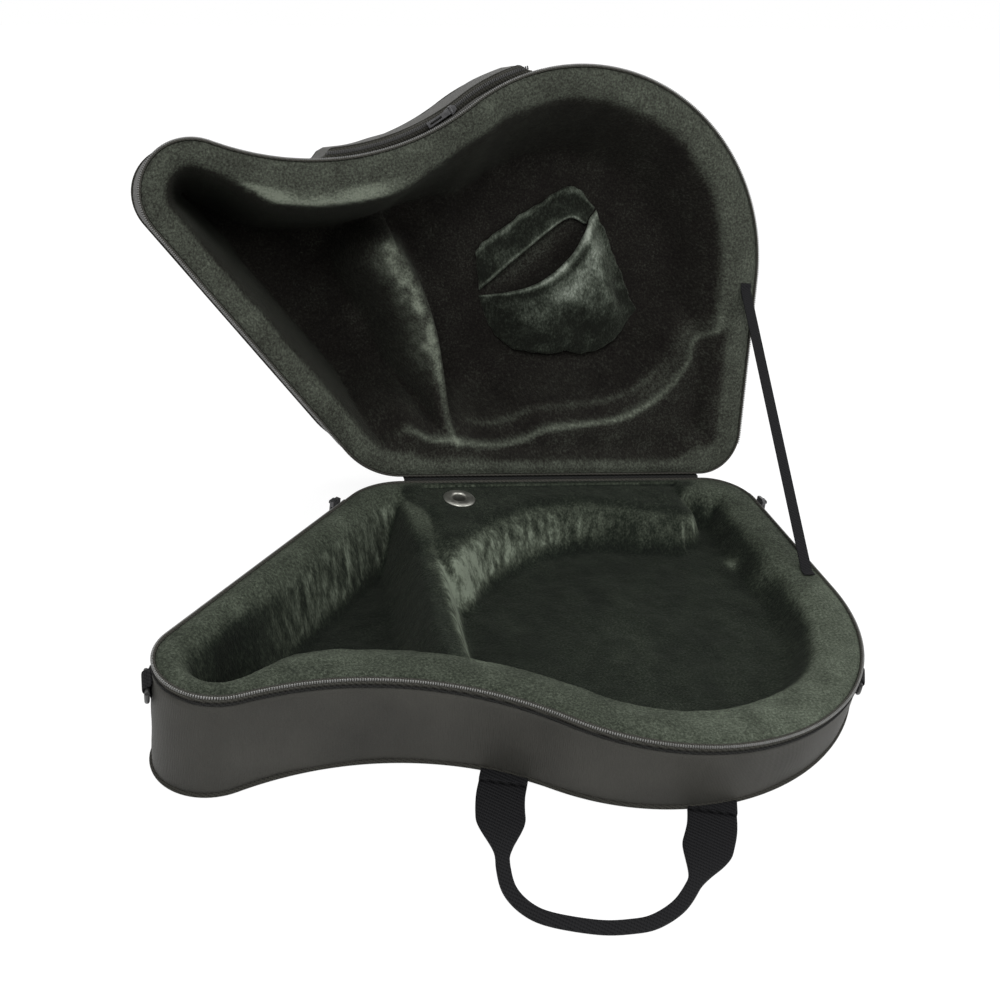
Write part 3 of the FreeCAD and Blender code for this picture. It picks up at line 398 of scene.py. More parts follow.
def plush_material(name, stops, strokes_scale, sheen=0.06):
    """Short-pile plush: tufts over a per-vertex attribute of painted light and shade, with random mottling.
    """
    material, nodes, links, surface = shader(name, 0.8, specular=0.08, sheen=sheen)
    where = object_place(nodes, links)
    strokes = object_place(nodes, links, strokes_scale)
    # this attribute holds painted light and shade, baked into each vertex from its slope and place, with some
    # random mottling
    painted_light_node = node(nodes, "ShaderNodeAttribute", attribute_name="painted_light_and_tone")
    patches = noise_of(nodes, links, where, 26.0, 4.0)
    pile = noise_of(nodes, links, strokes, 480.0, 3.0, 0.75)
    shrunk = node(nodes, "ShaderNodeMath", operation="MULTIPLY")
    shrunk.inputs[1].default_value = TONE_SCALE
    links.new(painted_light_node.outputs["Fac"], shrunk.inputs[0])
    tone = sum_of(nodes, links, shrunk.outputs[0], patches, PATCH_WEIGHT * TONE_SCALE)
    tone = sum_of(nodes, links, tone, pile, PILE_WEIGHT * TONE_SCALE)
    stops = [((position + TONE_SHIFT) * TONE_SCALE, colour) for position, colour in stops]
    links.new(ramp_of(nodes, links, tone, stops), surface.inputs["Base Color"])
    surface.inputs["Sheen Roughness"].default_value = 0.4
    surface.inputs["Sheen Tint"].default_value = (0.62, 0.68, 0.56, 1)
    tufts = noise_of(nodes, links, strokes, 800.0, 2.0, 0.8)
    swirl = noise_of(nodes, links, strokes, 90.0, 3.0)
    bumped(nodes, links, surface, sum_of(nodes, links, tufts, swirl, 1.2), 0.7, 0.0024)
    return material


def nylon_material(name, dark, light, rough=0.62):
    """Coated woven nylon: fine crossed threads, faint mottling and rubbed patches."""
    material, nodes, links, surface = shader(name, rough, specular=0.28, sheen=0.03)
    where = object_place(nodes, links)
    grain = noise_of(nodes, links, where, 950.0, 2.0, 0.6)
    cloud = noise_of(nodes, links, where, 9.0, 4.0)
    colour = ramp_of(nodes, links, sum_of(nodes, links, cloud, grain, 0.5), [(0.5, dark), (1.0, light)])
    links.new(colour, surface.inputs["Base Color"])
    weave = waves_of(nodes, links, where, "Z", 0.0011)
    for axis in ("X", "Y"):
        weave = sum_of(nodes, links, weave, waves_of(nodes, links, where, axis, 0.0013))
    bumped(nodes, links, surface, sum_of(nodes, links, weave, grain, 1.2), 0.35, 0.0005)
    return material


def webbing_material(name, dark, light):
    """Flat woven webbing: close ribs across the band."""
    material, nodes, links, surface = shader(name, 0.7, specular=0.08)
    where = object_place(nodes, links)
    ribs = waves_of(nodes, links, where, "DIAGONAL", 0.0022, 0.4)
    cross = waves_of(nodes, links, where, "X", 0.0016)
    fuzz = noise_of(nodes, links, where, 700.0, 2.0)
    height = sum_of(nodes, links, ribs, cross, 0.5)
    # the colour follows the ribs' height, so the grooves between them carry painted shade, with random fuzz
    # on top
    colour = ramp_of(nodes, links, sum_of(nodes, links, height, fuzz, 0.5), [(0.3, dark), (1.5, light)])
    links.new(colour, surface.inputs["Base Color"])
    bumped(nodes, links, surface, height, 0.6, 0.0008)
    return material


def metal_material(name, colour, rough, metallic=1.0):
    """Cast and tumbled metal with faint handling marks."""
    material, nodes, links, surface = shader(name, rough, metallic)
    marks = noise_of(nodes, links, object_place(nodes, links), 260.0, 4.0, 0.65)
    worn = tuple(min(1.0, part * 1.35 + 0.02) for part in colour)
    links.new(ramp_of(nodes, links, marks, [(0.35, colour), (0.75, worn)]), surface.inputs["Base Color"])
    roughness = [(0.3, (rough * 0.8,) * 3), (0.8, (min(1, rough * 1.4),) * 3)]
    links.new(ramp_of(nodes, links, marks, roughness), surface.inputs["Roughness"])
    bumped(nodes, links, surface, marks, 0.15, 0.0004)
    return material


# a stop at 0.38 is the middle of the two noises where the painted light and shade is 0
PLUSH = plush_material(
    "plush",
    [(0.36, (0.005, 0.0065, 0.005)), (0.6, (0.013, 0.017, 0.012)), (0.85, (0.038, 0.045, 0.033)),
     (1.1, (0.085, 0.1, 0.075)), (1.45, (0.19, 0.22, 0.17))],
    (1.0, 1.0, 0.25),
)
PLUSH_LID = plush_material(
    "plush_lid",
    [(0.36, (0.006, 0.005, 0.0045)), (0.6, (0.013, 0.012, 0.01)), (0.85, (0.036, 0.039, 0.031)),
     (1.1, (0.075, 0.084, 0.066)), (1.45, (0.17, 0.19, 0.15))],
    (1.0, 0.3, 1.0),
)
SATIN = plush_material(
    "pouch_plush",
    [(0.36, (0.007, 0.008, 0.006)), (0.6, (0.02, 0.024, 0.018)), (0.9, (0.06, 0.07, 0.055)),
     (1.2, (0.15, 0.17, 0.14)), (1.5, (0.3, 0.33, 0.28))],
    (1.0, 0.35, 0.6),
    sheen=0.15,
)
NYLON = nylon_material("nylon", (0.0185, 0.018, 0.0148), (0.043, 0.0415, 0.035))
PANEL = nylon_material("nylon_panel", (0.018, 0.0175, 0.0145), (0.04, 0.0385, 0.033))
BINDING = webbing_material("binding", (0.006, 0.006, 0.006), (0.018, 0.018, 0.017))
TAPE = webbing_material("zip_tape", (0.022, 0.0215, 0.018), (0.05, 0.049, 0.042))
PIPING = webbing_material("piping", (0.014, 0.0135, 0.012), (0.034, 0.033, 0.028))
COIL = metal_material("pocket_coil", (0.02, 0.02, 0.02), 0.4, 0.0)
WEBBING = webbing_material("webbing", (0.004, 0.004, 0.0045), (0.013, 0.013, 0.014))
TEETH = metal_material("zip_teeth", (0.11, 0.11, 0.105), 0.35, 0.0)
STEEL = metal_material("grommet_metal", (0.3, 0.3, 0.27), 0.36, 0.9)
BLACK_METAL = metal_material("ring_metal", (0.02, 0.02, 0.02), 0.38, 0.0)
SLIDER = metal_material("slider_metal", (0.06, 0.06, 0.062), 0.32, 0.6)
BOARD = nylon_material("board", (0.16, 0.11, 0.07), (0.24, 0.18, 0.12), 0.9)


# ---- sculpted plush linings
BACK_STRIP = 5.0
RECESS_LEFT = 238.0
SHELF = [(-50, -3), (-50, -60), (-48, -104), (-40, -124), (-22, -104), (-2, -86), (28, -66), (62, -48),
         (108, -40), (150, -45), (186, -57), (222, -66), (237, -62), (238, -34), (238, -3)]
BASE_RIDGE = [(-63, -10), (-60, -60), (-65, -146), (-71, -209), (-73, -250), (-72, -300)]
LEDGE = [(-70, -2), (-62, -44), (-32, -36), (-5, -34), (35, -28), (72, -34), (96, -45), (140, -51),
         (179, -57), (210, -71), (236, -90), (256, -118), (268, -150), (330, -150), (330, -2)]
# x, y and depth of the crest, and how wide it is
LID_RIDGE = [(-2, -26, 24, 16), (-12, -62, 36, 16), (-17, -98, 46, 17), (-26, -140, 52, 19),
             (-42, -182, 60, 22), (-62, -218, 74, 24)]
WELL = np.array([-12.0, -31.0])
BARREL, FLANGE = 10.4, 15.5
UNDER_PLANE = 0.15
SKIRT_INSET, SKIRT_DEPTH, BACK_INSIDE = 7.1, 2.8, 7.0
WELL_DEPTH = 46.0


def polygon_distance(points, corners):
    """Inside distance of a smooth closed shape."""
    line = curve(corners, 2.0, closed=True)
    turning = np.cross(line, np.roll(line, -1, 0)).sum()
    line = line if turning > 0 else line[::-1]
    return signed(points, line, closed_normals(line))


def softness(points, amount, size, seed):
    """Low swells of stuffed fabric."""
    return np.array([noise.noise(Vector((x / size, y / size, seed))) for x, y in points]) * amount


def crown_of(inset):
    """The rim's rounded top: low at its edge and up to the parting plane."""
    return -2.6 + 2.2 * softly(1.5, 9.0, inset)


def base_height(points):
    """Height of the plush in the base: rim, shelf, ridge and the floor of the hollows."""
    x, y = points[:, 0], points[:, 1]
    floor = outer_plane("base", points, LINING_UNDER)
    inset = inset_of(points)
    crown = crown_of(inset)
    # the rim's pad is widest along the front
    front = softly(-260, -200, x) * softly(180, 250, -y)
    rim = 27 + 20 * front - 8 * front * softly(160, 250, x) + 8 * softly(200, 280, x) * (1 - front)
    off_hinge = off_hinge_of(points)
    fall = 0.09 * softly(rim * 0.55, rim, off_hinge) + 0.91 * softly(rim - 3, rim + 26, off_hinge)
    height = crown * (1 - fall) + floor * fall
    # a narrow strip of rim runs along the hinge, wider beside the recess
    in_recess = x > RECESS_LEFT
    back = softly(0.0, np.where(in_recess, 26.0, 7.0), -y - np.where(in_recess, 24.0, BACK_STRIP))
    along_hinge = (x > LEFT[0]) & (x < 320)
    height = np.where(along_hinge, both(height, crown * (1 - back) + floor * back, 2.0), height)
    shelf_in = -polygon_distance(points, SHELF)
    steep = np.where(x > 225, 20.0, 34.0)
    drop = 0.12 * softly(-14, 3, shelf_in) + 0.88 * softly(-1.5, steep, shelf_in)
    height = both(height, (-SHELF_DROP - 0.5) * (1 - drop) + floor * drop, 3.0)
    rise = softly(6.0, 38.0, nearest_on(points, curve(BASE_RIDGE, 2.0))[0])
    crest = -15.0 + 9.0 * softly(-120, -50, y)
    height = both(height, crest * (1 - rise) + floor * rise, 6.0)
    height += softness(points, 1.6, 34.0, 3.1) * softly(6, 24, inset)
    height += softness(points, 0.7, 11.0, 8.3) * softly(12, 30, inset)
    # flat under the eyelet, with the well inside its barrel
    from_well = np.hypot(*(points - WELL).T)
    flat = softly(FLANGE, FLANGE + 10, from_well)
    height = -(SHELF_DROP + UNDER_PLANE) * (1 - flat) + height * flat
    height = np.where(from_well < BARREL + 0.3, -WELL_DEPTH, height)
    return np.minimum(height, -UNDER_PLANE)


def lid_height(points):
    """Depth of the plush in the lid, as a height above the parting plane."""
    x, y = points[:, 0], points[:, 1]
    floor = outer_plane("lid", points, LINING_UNDER)
    inset = inset_of(points)
    crown = crown_of(inset)
    # the rim's pad is widest along the waist
    waist = softly(-250, -190, x) * (1 - softly(-90, 0, x)) * softly(200, 250, -y)
    rim = 26 + 17 * waist + 6 * softly(240, 290, x)
    spread = 30 + 30 * softly(-60, 20, x)
    off_hinge = off_hinge_of(points)
    fall = 0.03 * softly(rim * 0.5, rim, off_hinge) + 0.97 * softly(rim - 3, rim + spread, off_hinge)
    height = crown * (1 - fall) - floor * fall
    ledge_in = -polygon_distance(points, LEDGE)
    drop = 0.16 * softly(-1.5, 7.0, ledge_in) + 0.84 * softly(3.0, 62.0, ledge_in)
    rim_side = softly(8.0, 26.0, -y)
    ledge_top = crown * (1 - rim_side) - (10.0 + 9.0 * softly(0, 30, x)) * rim_side
    height = both(height, ledge_top * (1 - drop) - floor * drop, 2.2)
    ridge = curve(LID_RIDGE, 2.0)
    gap, nearest = nearest_on(points, ridge)
    # a steep right side under the crest and a long left one
    reach = 2.5 - 1.2 * softly(-4.0, 4.0, x - ridge[nearest, 0])
    rise = softly(0.15, 1.0, gap / ridge[nearest, 3] / reach)
    height = both(height, -ridge[nearest, 2] * (1 - rise) - floor * rise, 6.0)
    height += softness(points, 2.6, 46.0, 5.7) * softly(6, 26, inset)
    height += softness(points, 0.9, 14.0, 1.9) * softly(12, 30, inset)
    return -np.minimum(height, -UNDER_PLANE)


def hump(value, centre, width):
    """1 at the centre, falling off both ways."""
    return np.exp(-(((value - centre) / width) ** 2))


def streaks(points, heights, wide, tall, seed):
    """Noise stretched down a wall, for streaks in the painted light."""
    return np.array([
        noise.noise(Vector((x / wide, y / wide, z / tall + seed))) for (x, y), z in zip(points, heights)
    ])


# painted highlights on the right wall: x, y and size
PAINTED_HIGHLIGHT_SPOTS = ((284, -168, 13), (289, -210, 12), (262, -122, 6))


def base_painted_light_and_tone(points, heights, normals):
    """Painted light and shade on the base's plush, with random mottling: lit rims, painted shade in the
    hollows, painted highlight streaks on the walls.
    """
    x, y = points[:, 0], points[:, 1]
    high = softly(-17, -5, heights)
    low = 1 - softly(3, 18, heights - outer_plane("base", points, LINING_UNDER))
    wall = np.clip(1 - high - low, 0, 1)
    shelf = softly(-2, 6, polygon_distance(points, SHELF))
    # painted light on walls that face +x and -y, in streaks and weaker in the trench, and a painted lit patch
    # near the shelf's left corner
    facing = np.clip(0.8 * normals[:, 0] - 0.8 * normals[:, 1], 0, 1)
    strokes = streaks(points, heights, 5.0, 60.0, 4.0)
    dish = softly(-60, -20, x)
    trench = 1 - softly(-110, -70, x)
    lit = 0.03 + (0.7 - 0.22 * trench + 0.65 * strokes) * facing
    lit += 0.25 * hump(x, -30, 26) * hump(y, -130, 60)
    # lit rim tops, a darker shelf top and near-black hollow floors: painted light and shade
    painted_light_and_tone = high * (0.5 - 0.36 * shelf + 0.16 * strokes * shelf) + low * 0.07 * dish + wall * lit
    # painted shade in the bell's cup
    painted_light_and_tone *= 1 - 0.92 * (1 - high) * hump(x, -250, 55) * softly(130, 205, -y)
    # the lobe's rim painted lighter
    painted_light_and_tone += 0.13 * high * softly(40, 140, x) * softly(150, 260, -y)
    # a painted highlight streak in the trench beside the ridge
    beside_ridge = hump(x, -50, 15) * softly(95, 135, -y) * (1 - softly(270, 310, -y))
    painted_light_and_tone += 0.5 * (0.75 + 0.7 * strokes) * beside_ridge
    # painted shade under the eyelet's flange and down its well
    painted_light_and_tone = np.where(np.hypot(*(points - WELL).T) < FLANGE, 0.0, painted_light_and_tone)
    for spot_x, spot_y, size in PAINTED_HIGHLIGHT_SPOTS:
        painted_light_and_tone += 0.75 * hump(x, spot_x, size) * hump(y, spot_y, size * 1.5) * (1 - high)
    # a painted lit patch on the dish's floor, then random mottling
    painted_light_and_tone += 0.1 * low * dish * hump(np.hypot(x - 170, y + 235), 60, 55)
    return painted_light_and_tone + 0.09 * softness(points, 1.0, 19.0, 2.0)


def lid_painted_light_and_tone(points, heights, _normals):
    """Painted light and shade on the lid's plush, with random mottling: lit rims, a painted highlight on each
    pad's edge, painted shade in the hollow.
    """
    x, y = points[:, 0], points[:, 1]
    off_hinge = off_hinge_of(points)
    high = 1 - softly(4, 14, heights)
    ledge_in = -polygon_distance(points, LEDGE)
    ledge = softly(-3, 1, -ledge_in) * softly(12, 24, -y) * softly(24, 34, off_hinge)
    high *= 1 - ledge
    mouth = hump(x, 100, 34) * hump(y + 0.75 * (x - 95), -225, 16)
    # lit rims and a lighter band at the pouch's mouth are painted light; the hollow left dark is painted
    # shade
    painted_light_and_tone = 0.13 + 0.42 * high + 0.08 * ledge + 0.22 * mouth
    # painted highlights along the pads' edges and the ledge's edges
    painted_light_and_tone += 0.5 * hump(heights, 5.0, 3.5) * softly(60, 110, -x) * softly(24, 30, off_hinge)
    across = softly(-75, -50, x) * softly(28, 36, off_hinge)
    painted_light_and_tone += 0.62 * hump(ledge_in, 0.8, 3.0) * across * (1 - 0.35 * softly(200, 240, x))
    painted_light_and_tone += 0.3 * hump(ledge_in, 19.0, 3.0) * across * softly(0, 30, x) * (1 - softly(210, 250, x))
    painted_light_and_tone += 0.22 * hump(ledge_in, 10.0, 9.0) * across * softly(150, 220, x)
    # painted highlight streaks down the divider's left side and along its crest
    ridge = curve(LID_RIDGE, 2.0)
    gap, nearest = nearest_on(points, ridge)
    gap *= np.sign(x - ridge[nearest, 0])
    upper = softly(70, 130, -y) * (1 - softly(225, 262, -y))
    strokes = streaks(points, heights, 9.0, 34.0, 1.0)
    painted_light_and_tone += (0.62 + 0.5 * strokes) * hump(gap, -7.0, 17.0) * upper
    painted_light_and_tone += 0.45 * hump(gap, 0.0, 4.0) * (1 - softly(110, 150, -y)) * softly(20, 34, -y)
    return painted_light_and_tone + 0.07 * softness(points, 1.0, 24.0, 6.0)


def set_painted_light_and_tone(piece, painted_light_and_tone):
    """Stores each vertex's painted light and shade, with its mottling, for the plush materials."""
    layer = piece.data.attributes.new("painted_light_and_tone", "FLOAT", "POINT")
    layer.data.foreach_set("value", np.clip(painted_light_and_tone, 0, 1.2).astype(np.float32))


def normals_in(piece, where):
    """The piece's vertex normals in a case frame."""
    found = np.empty(len(piece.data.vertices) * 3, np.float32)
    piece.data.vertices.foreach_get("normal", found)
    return found.reshape(-1, 3) @ np.array(where.to_3x3())


def plan_mesh(rings, spacing, row_step, margin, holes=()):
    """Points and triangles over the plan: its border, rings inside that, then a staggered grid."""
    loops = [PLAN - PLAN_OUT * inset for inset in rings]
    loose = np.concatenate(loops[1:])
    rows = enumerate(np.arange(-430, 5, row_step))
    columns = np.arange(-330, 330, spacing)
    grid = np.array([(x + spacing / 2 * (row % 2), y) for row, y in rows for x in columns])
    grid = grid[inset_of(grid) > rings[-1] + margin]
    for centre, radii in holes:
        grid = grid[np.hypot(*(grid - centre).T) > radii[-1] + 1.5]
        for radius in radii:
            angles = np.linspace(0, 2 * math.pi, 36, endpoint=False)
            ring = centre + radius * np.stack([np.cos(angles), np.sin(angles)], 1)
            grid = np.concatenate([grid, ring])
        loose = loose[np.hypot(*(loose - centre).T) > radii[-1] + 1.5]
    points = [Vector(point) for point in np.concatenate([loops[0], loose, grid])]
    made = geometry.delaunay_2d_cdt(points, loop_edges(len(PLAN)), [], 1, 0.01)
    return np.array([tuple(vertex) for vertex in made[0]]), [list(face) for face in made[2]]


def loop_edges(count):
    """Pairs of neighbours round a closed loop."""
    return [(index, (index + 1) % count) for index in range(count)]


def lining(side, height_of, painted_light_and_tone_of, holes, material):
    """A closed plush body: a sculpted face over a flat back."""
    spacing = 3.4
    plan, faces = plan_mesh(RIM_INSETS, spacing, spacing * math.sqrt(3) / 2, spacing * 0.7, holes)
    top = np.column_stack([plan, height_of(plan)])
    skirt_plan = PLAN - PLAN_OUT * SKIRT_INSET
    border, count = len(PLAN), len(plan)
    skirt = np.column_stack([skirt_plan, np.full(border, SKIRT_DEPTH * sign_of(side))])
    bottom = np.column_stack([skirt_plan, outer_plane(side, skirt_plan, BACK_INSIDE)])
    points = np.concatenate([top, skirt, bottom])
    for first, after in loop_edges(border):
        faces.append([first, after, count + after, count + first])
        faces.append([count + first, count + after, count + border + after, count + border + first])
    faces.append(list(range(count + border, count + 2 * border)))
    piece = solid(f"{side}_plush", place(points, WHERE[side]), faces, material)
    # painted light and shade on the sculpted face; the skirt and back get one flat value
    painted_light_and_tone = painted_light_and_tone_of(points[:, :2], points[:, 2], normals_in(piece, WHERE[side]))
    painted_light_and_tone[count:] = BACK_PAINTED_LIGHT_AND_TONE
    set_painted_light_and_tone(piece, painted_light_and_tone)
    return piece


RIM_INSETS = (1.7, 2.6, 4.0, 6.0, 9.0, 13.0, 17.0, 20.0, 23.0, 26.0, 29.0, 32.0)
BACK_PAINTED_LIGHT_AND_TONE = 0.4
HOLES = [(WELL, (BARREL - 2, BARREL, BARREL + 0.7, FLANGE))]

base_plush = lining("base", base_height, base_painted_light_and_tone, HOLES, PLUSH)
finish_piece(base_plush, "base", "plush", "base_lining", "mouthpiece_block", "bell_divider", padded=0.8)
lid_plush = lining("lid", lid_height, lid_painted_light_and_tone, [], PLUSH_LID)
finish_piece(lid_plush, "lid", "plush", "lid_lining", "lid_ledge", "lid_divider", padded=0.8)


# ---- boards, covers and edgings


def strip(name, side, section, material, track=None, shift=None):
    """A closed profile carried round the plan, or along an open track with its ends capped.

    section lists (out, share, offset): how far out of the plan a point is, and a height that is its share of
    the way to the outer face plus an offset. shift moves a point's outs along the track.
    """
    plan, normals = track or (PLAN, PLAN_OUT)
    outer, rows = outer_plane(side, plan), []
    for out, share, offset in section:
        height = outer * share + offset * sign_of(side)
        outs = shift(side, out, plan, height) if shift else np.full(len(plan), out)
        rows.append(np.column_stack([plan + normals * outs[:, None], height]))
    points = np.stack(rows, 1).reshape(-1, 3)
    size = (len(plan), len(section))
    faces = capped_faces(*size) if track else grid_faces(*size, loop_rows=True, loop_columns=True)
    return solid(name, place(points, WHERE[side]), faces, material)


def round_section(out, share, offset, half_out, half_up, count=12):
    """An ellipse as a strip's section."""
    turns = [2 * math.pi * index / count for index in range(count)]
    return [(out + half_out * math.cos(turn), share, offset + half_up * math.sin(turn)) for turn in turns]


NYLON_WANDER = 0.8


def wrinkled(side, out, plan, height):
    """The nylon's outer face wanders a little."""
    if out <= -0.5:
        return np.full(len(plan), out)
    seed = sign_of(side) * 9
    spots = [Vector((x / 38, y / 38, h / 26 + seed)) for (x, y), h in zip(plan, height)]
    return out + NYLON_WANDER * np.array([noise.noise(spot) for spot in spots])


def side_cover(side):
    """Nylon wall: slightly slack between the zip's binding and the panel's piping."""
    def at(out, share):
        return out, share, ZIP_BAND * (1 - share) - 0.9 * share

    section = [at(0.15 + 0.7 * math.sin(math.pi * share), share) for share in np.linspace(0, 1, 14)]
    section += [at(-1.3, share) for share in np.linspace(1, 0, 5)]
    cover = strip(f"{side}_side_nylon", side, section, NYLON, shift=wrinkled)
    finish_piece(cover, side, "nylon_cover", f"{side}_side_cover")


def board(side):
    """The shell board under the covers, its edge kept under the plush."""
    section = [(-1.7, 0.0, 3.4), (-1.7, 1.0, -1.6), (-6.3, 1.0, -1.6), (-6.3, 0.0, 3.4)]
    slot = "shell_board" if side == "base" else "lid_board"
    finish_piece(strip(f"{side}_board", side, section, BOARD), side, slot, f"{side}_shell")


def open_loop(step):
    """The plan without the stretch by the hinge, where the zip stops."""
    plan, normals, _ = outline(step)
    keep = plan[:, 1] < -ZIP_END
    first = int(np.argmax(keep & ~np.roll(keep, 1)))
    order = np.roll(np.arange(len(plan)), -first)
    order = order[keep[order]]
    return plan[order], normals[order]


def tooth(centre, out, along, up):
    """One moulded tooth: a short rounded bar across the zip's edge."""
    corners = []
    for share, grow in ((-1.0, 0.55), (-0.6, 1.0), (0.6, 1.0), (1.0, 0.55)):
        for a, b in ((-1, -1), (1, -1), (1, 1), (-1, 1)):
            corners.append(centre + out * share + along * a * grow + up * b * grow)
    return corners


TOOTH_PITCH, TOOTH_HALF_WIDTH = 2.0, 0.6


def teeth(name, side, track, out, height, half_length, half_height, material):
    """A row of teeth along a track."""
    plan, normals = track
    turn = np.array(WHERE[side].to_3x3())
    up = turn @ np.array([0, 0, 1.0])
    centres = place(np.column_stack([plan + normals * out, np.full(len(plan), height)]), WHERE[side])
    points, faces = [], []
    for centre, normal in zip(centres, normals):
        across = turn @ np.array([*normal, 0])
        along = np.cross(up, across)
        faces += [tuple(len(points) + corner for corner in face) for face in TOOTH_FACES]
        points += tooth(centre, across * half_length * MM, along * TOOTH_HALF_WIDTH * MM,
                        up * half_height * MM)
    return new_mesh(name, points, faces, material, smooth=False)


TOOTH_FACES = [(3, 2, 1, 0), (12, 13, 14, 15)] + [
    (4 * ring + corner, 4 * ring + (corner + 1) % 4, 4 * ring + 4 + (corner + 1) % 4, 4 * ring + 4 + corner)
    for ring in range(3)
    for corner in range(4)
]


def zip_chain(side):
    """The row of teeth along this half's edge."""
    row = teeth(f"{side}_zip_teeth", side, open_loop(TOOTH_PITCH), 0.25, sign_of(side) * 2.1, 1.4, 1.0, TEETH)
    finish_piece(row, side, "zip_teeth", f"{side}_zip_chain")


def zip_tape(side):
    """Woven tape between the teeth and the binding, with a raised edge cord."""
    section = [(-1.6, 0, 0.7), (-0.3, 0, 0.62), (0.05, 0, 1.2), (0.1, 0, 3.6), (0.75, 0, 4.3), (0.9, 0, 5.0),
               (0.75, 0, 5.7), (0.15, 0, 6.3), (0.1, 0, 9.9), (-1.5, 0, 9.9)]
    finish_piece(strip(f"{side}_zip_tape_woven", side, section, TAPE), side, "zip_tape", f"{side}_zip_tape")


def edgings(side):
    """Piping round the outer panel, and binding along the zip's open stretch."""
    piping = strip(f"{side}_piping", side, round_section(0.1, 1, -2.4, 2.2, 2.2), PIPING)
    finish_piece(piping, side, "binding_tape", f"{side}_panel_piping")
    section = round_section(0.2, 0, ZIP_BAND - 1.2, 1.2, 1.3)
    binding = strip(f"{side}_binding", side, section, BINDING, track=open_loop(4.0))
    finish_piece(binding, side, "binding_tape", f"{side}_zip_binding")


for side in ("base", "lid"):
    side_cover(side)
    board(side)
    zip_tape(side)
    zip_chain(side)
    edgings(side)


# ---- fabric hinge
def hinge_fabric():
    """A folded strip from the base's back edge to the lid's, bending on the hinge line."""
    first, last = LEFT[0] + 2, RIGHT[0] - 2
    section = [(0.2, -9.0), (0.6, -5.0), (1.6, -2.0), (3.0, 0.0)]
    rows = []
    for thickness in (0.0, 1.1):
        near = [Vector((0, y + thickness, z)) for y, z in section]
        far = [LID_TURN @ Vector((0, y + thickness, -z)) for y, z in section[::-1]]
        rows.append(near + far[1:])
    loop = rows[0] + rows[1][::-1]
    across = np.linspace(first, last, 44)
    points = [(x, point.y, point.z) for x in across for point in loop]
    piece = solid("hinge_strip", place(points, BASE), capped_faces(len(across), len(loop)), BINDING)
    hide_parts("fabric_hinge")
    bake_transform(piece)


hinge_fabric()


# ---- webbing: stay strap and handles
def webbing_band(name, path, wide, thick, half_widths, half_thicks):
    """A flat band with rounded edges: wide and thick are its unit directions at each path point."""
    turns = 2 * math.pi * np.arange(20) / 20
    across, over = (np.copysign(np.abs(wave) ** 0.35, wave) for wave in (np.cos(turns), np.sin(turns)))
    sides = np.asarray(wide) * np.broadcast_to(half_widths, len(path))[:, None]
    ups = np.asarray(thick) * np.broadcast_to(half_thicks, len(path))[:, None]
    points = (np.asarray(path)[:, None] + sides[:, None] * across[:, None] + ups[:, None] * over[:, None])
    return solid(name, points.reshape(-1, 3), capped_faces(len(path), len(turns)), WEBBING)


STRAP_HALF_WIDTH, STRAP_HALF_THICK, STRAP_SEWN = 6.0, 0.65, 6.0


def stay_strap():
    """Flat webbing from the base's rim to the lid's, its sewn ends lying on the rims."""
    low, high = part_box("strap_anchor_base")
    base_foot = Vector(((low.x + high.x) / 2, (low.y + high.y) / 2, high.z))
    low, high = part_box("strap_anchor_lid")
    ends = []
    for foot, where, up, lift in ((base_foot, BASE, 1, 0.4), ((low + high) / 2, LID, -1, 1.3)):
        off, run = (where.to_3x3() @ Vector(way) * MM for way in ((0, 0, up), (0, 1, 0)))
        sewn = foot + off * lift
        ends.append(np.array([sewn - run * STRAP_SEWN, sewn, sewn + run * 3 + off * 1.5]))
    starts, finishes = ends
    shares = np.linspace(0.01, 0.99, 60)[:, None]
    middle = starts[2] + (finishes[2] - starts[2]) * shares
    path = np.concatenate([curve(starts, 0.0015), middle, curve(finishes[::-1], 0.0015)])
    along = headings(path)
    across = np.array(BASE.to_3x3() @ Vector((1, 0, 0)))
    wide = across - along * (along @ across)[:, None]
    wide /= np.linalg.norm(wide, axis=1)[:, None]
    strap = webbing_band("stay_webbing", path, wide, np.cross(along, wide), STRAP_HALF_WIDTH * MM,
                         STRAP_HALF_THICK * MM)
    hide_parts("stay_strap", "strap_anchor_base", "strap_anchor_lid")
    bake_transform(strap)


stay_strap()

HALF_SPAN, REACH, ROOT_HALF, GRIP_HALF = 85.3, 128.0, 20.0, 5.6
ROOT_HALF_THICK, GRIP_HALF_THICK, GROUND_HALF_THICK = 1.25, 2.35, 2.5
ROOT_LENGTH, GRIP_START = 36, 80
# a handle's line, as shares of its half span and its reach
LOOP = [(-1.0, -0.02), (-1.0, 0.08), (-0.98, 0.2), (-0.94, 0.34), (-0.90, 0.5), (-0.86, 0.66), (-0.77, 0.82),
        (-0.6, 0.93), (-0.38, 0.98), (0.02, 0.985), (0.30, 0.945), (0.50, 0.885), (0.70, 0.75), (0.83, 0.57),
        (0.90, 0.42), (0.95, 0.28), (0.99, 0.14), (1.0, 0.06), (1.0, -0.02)]


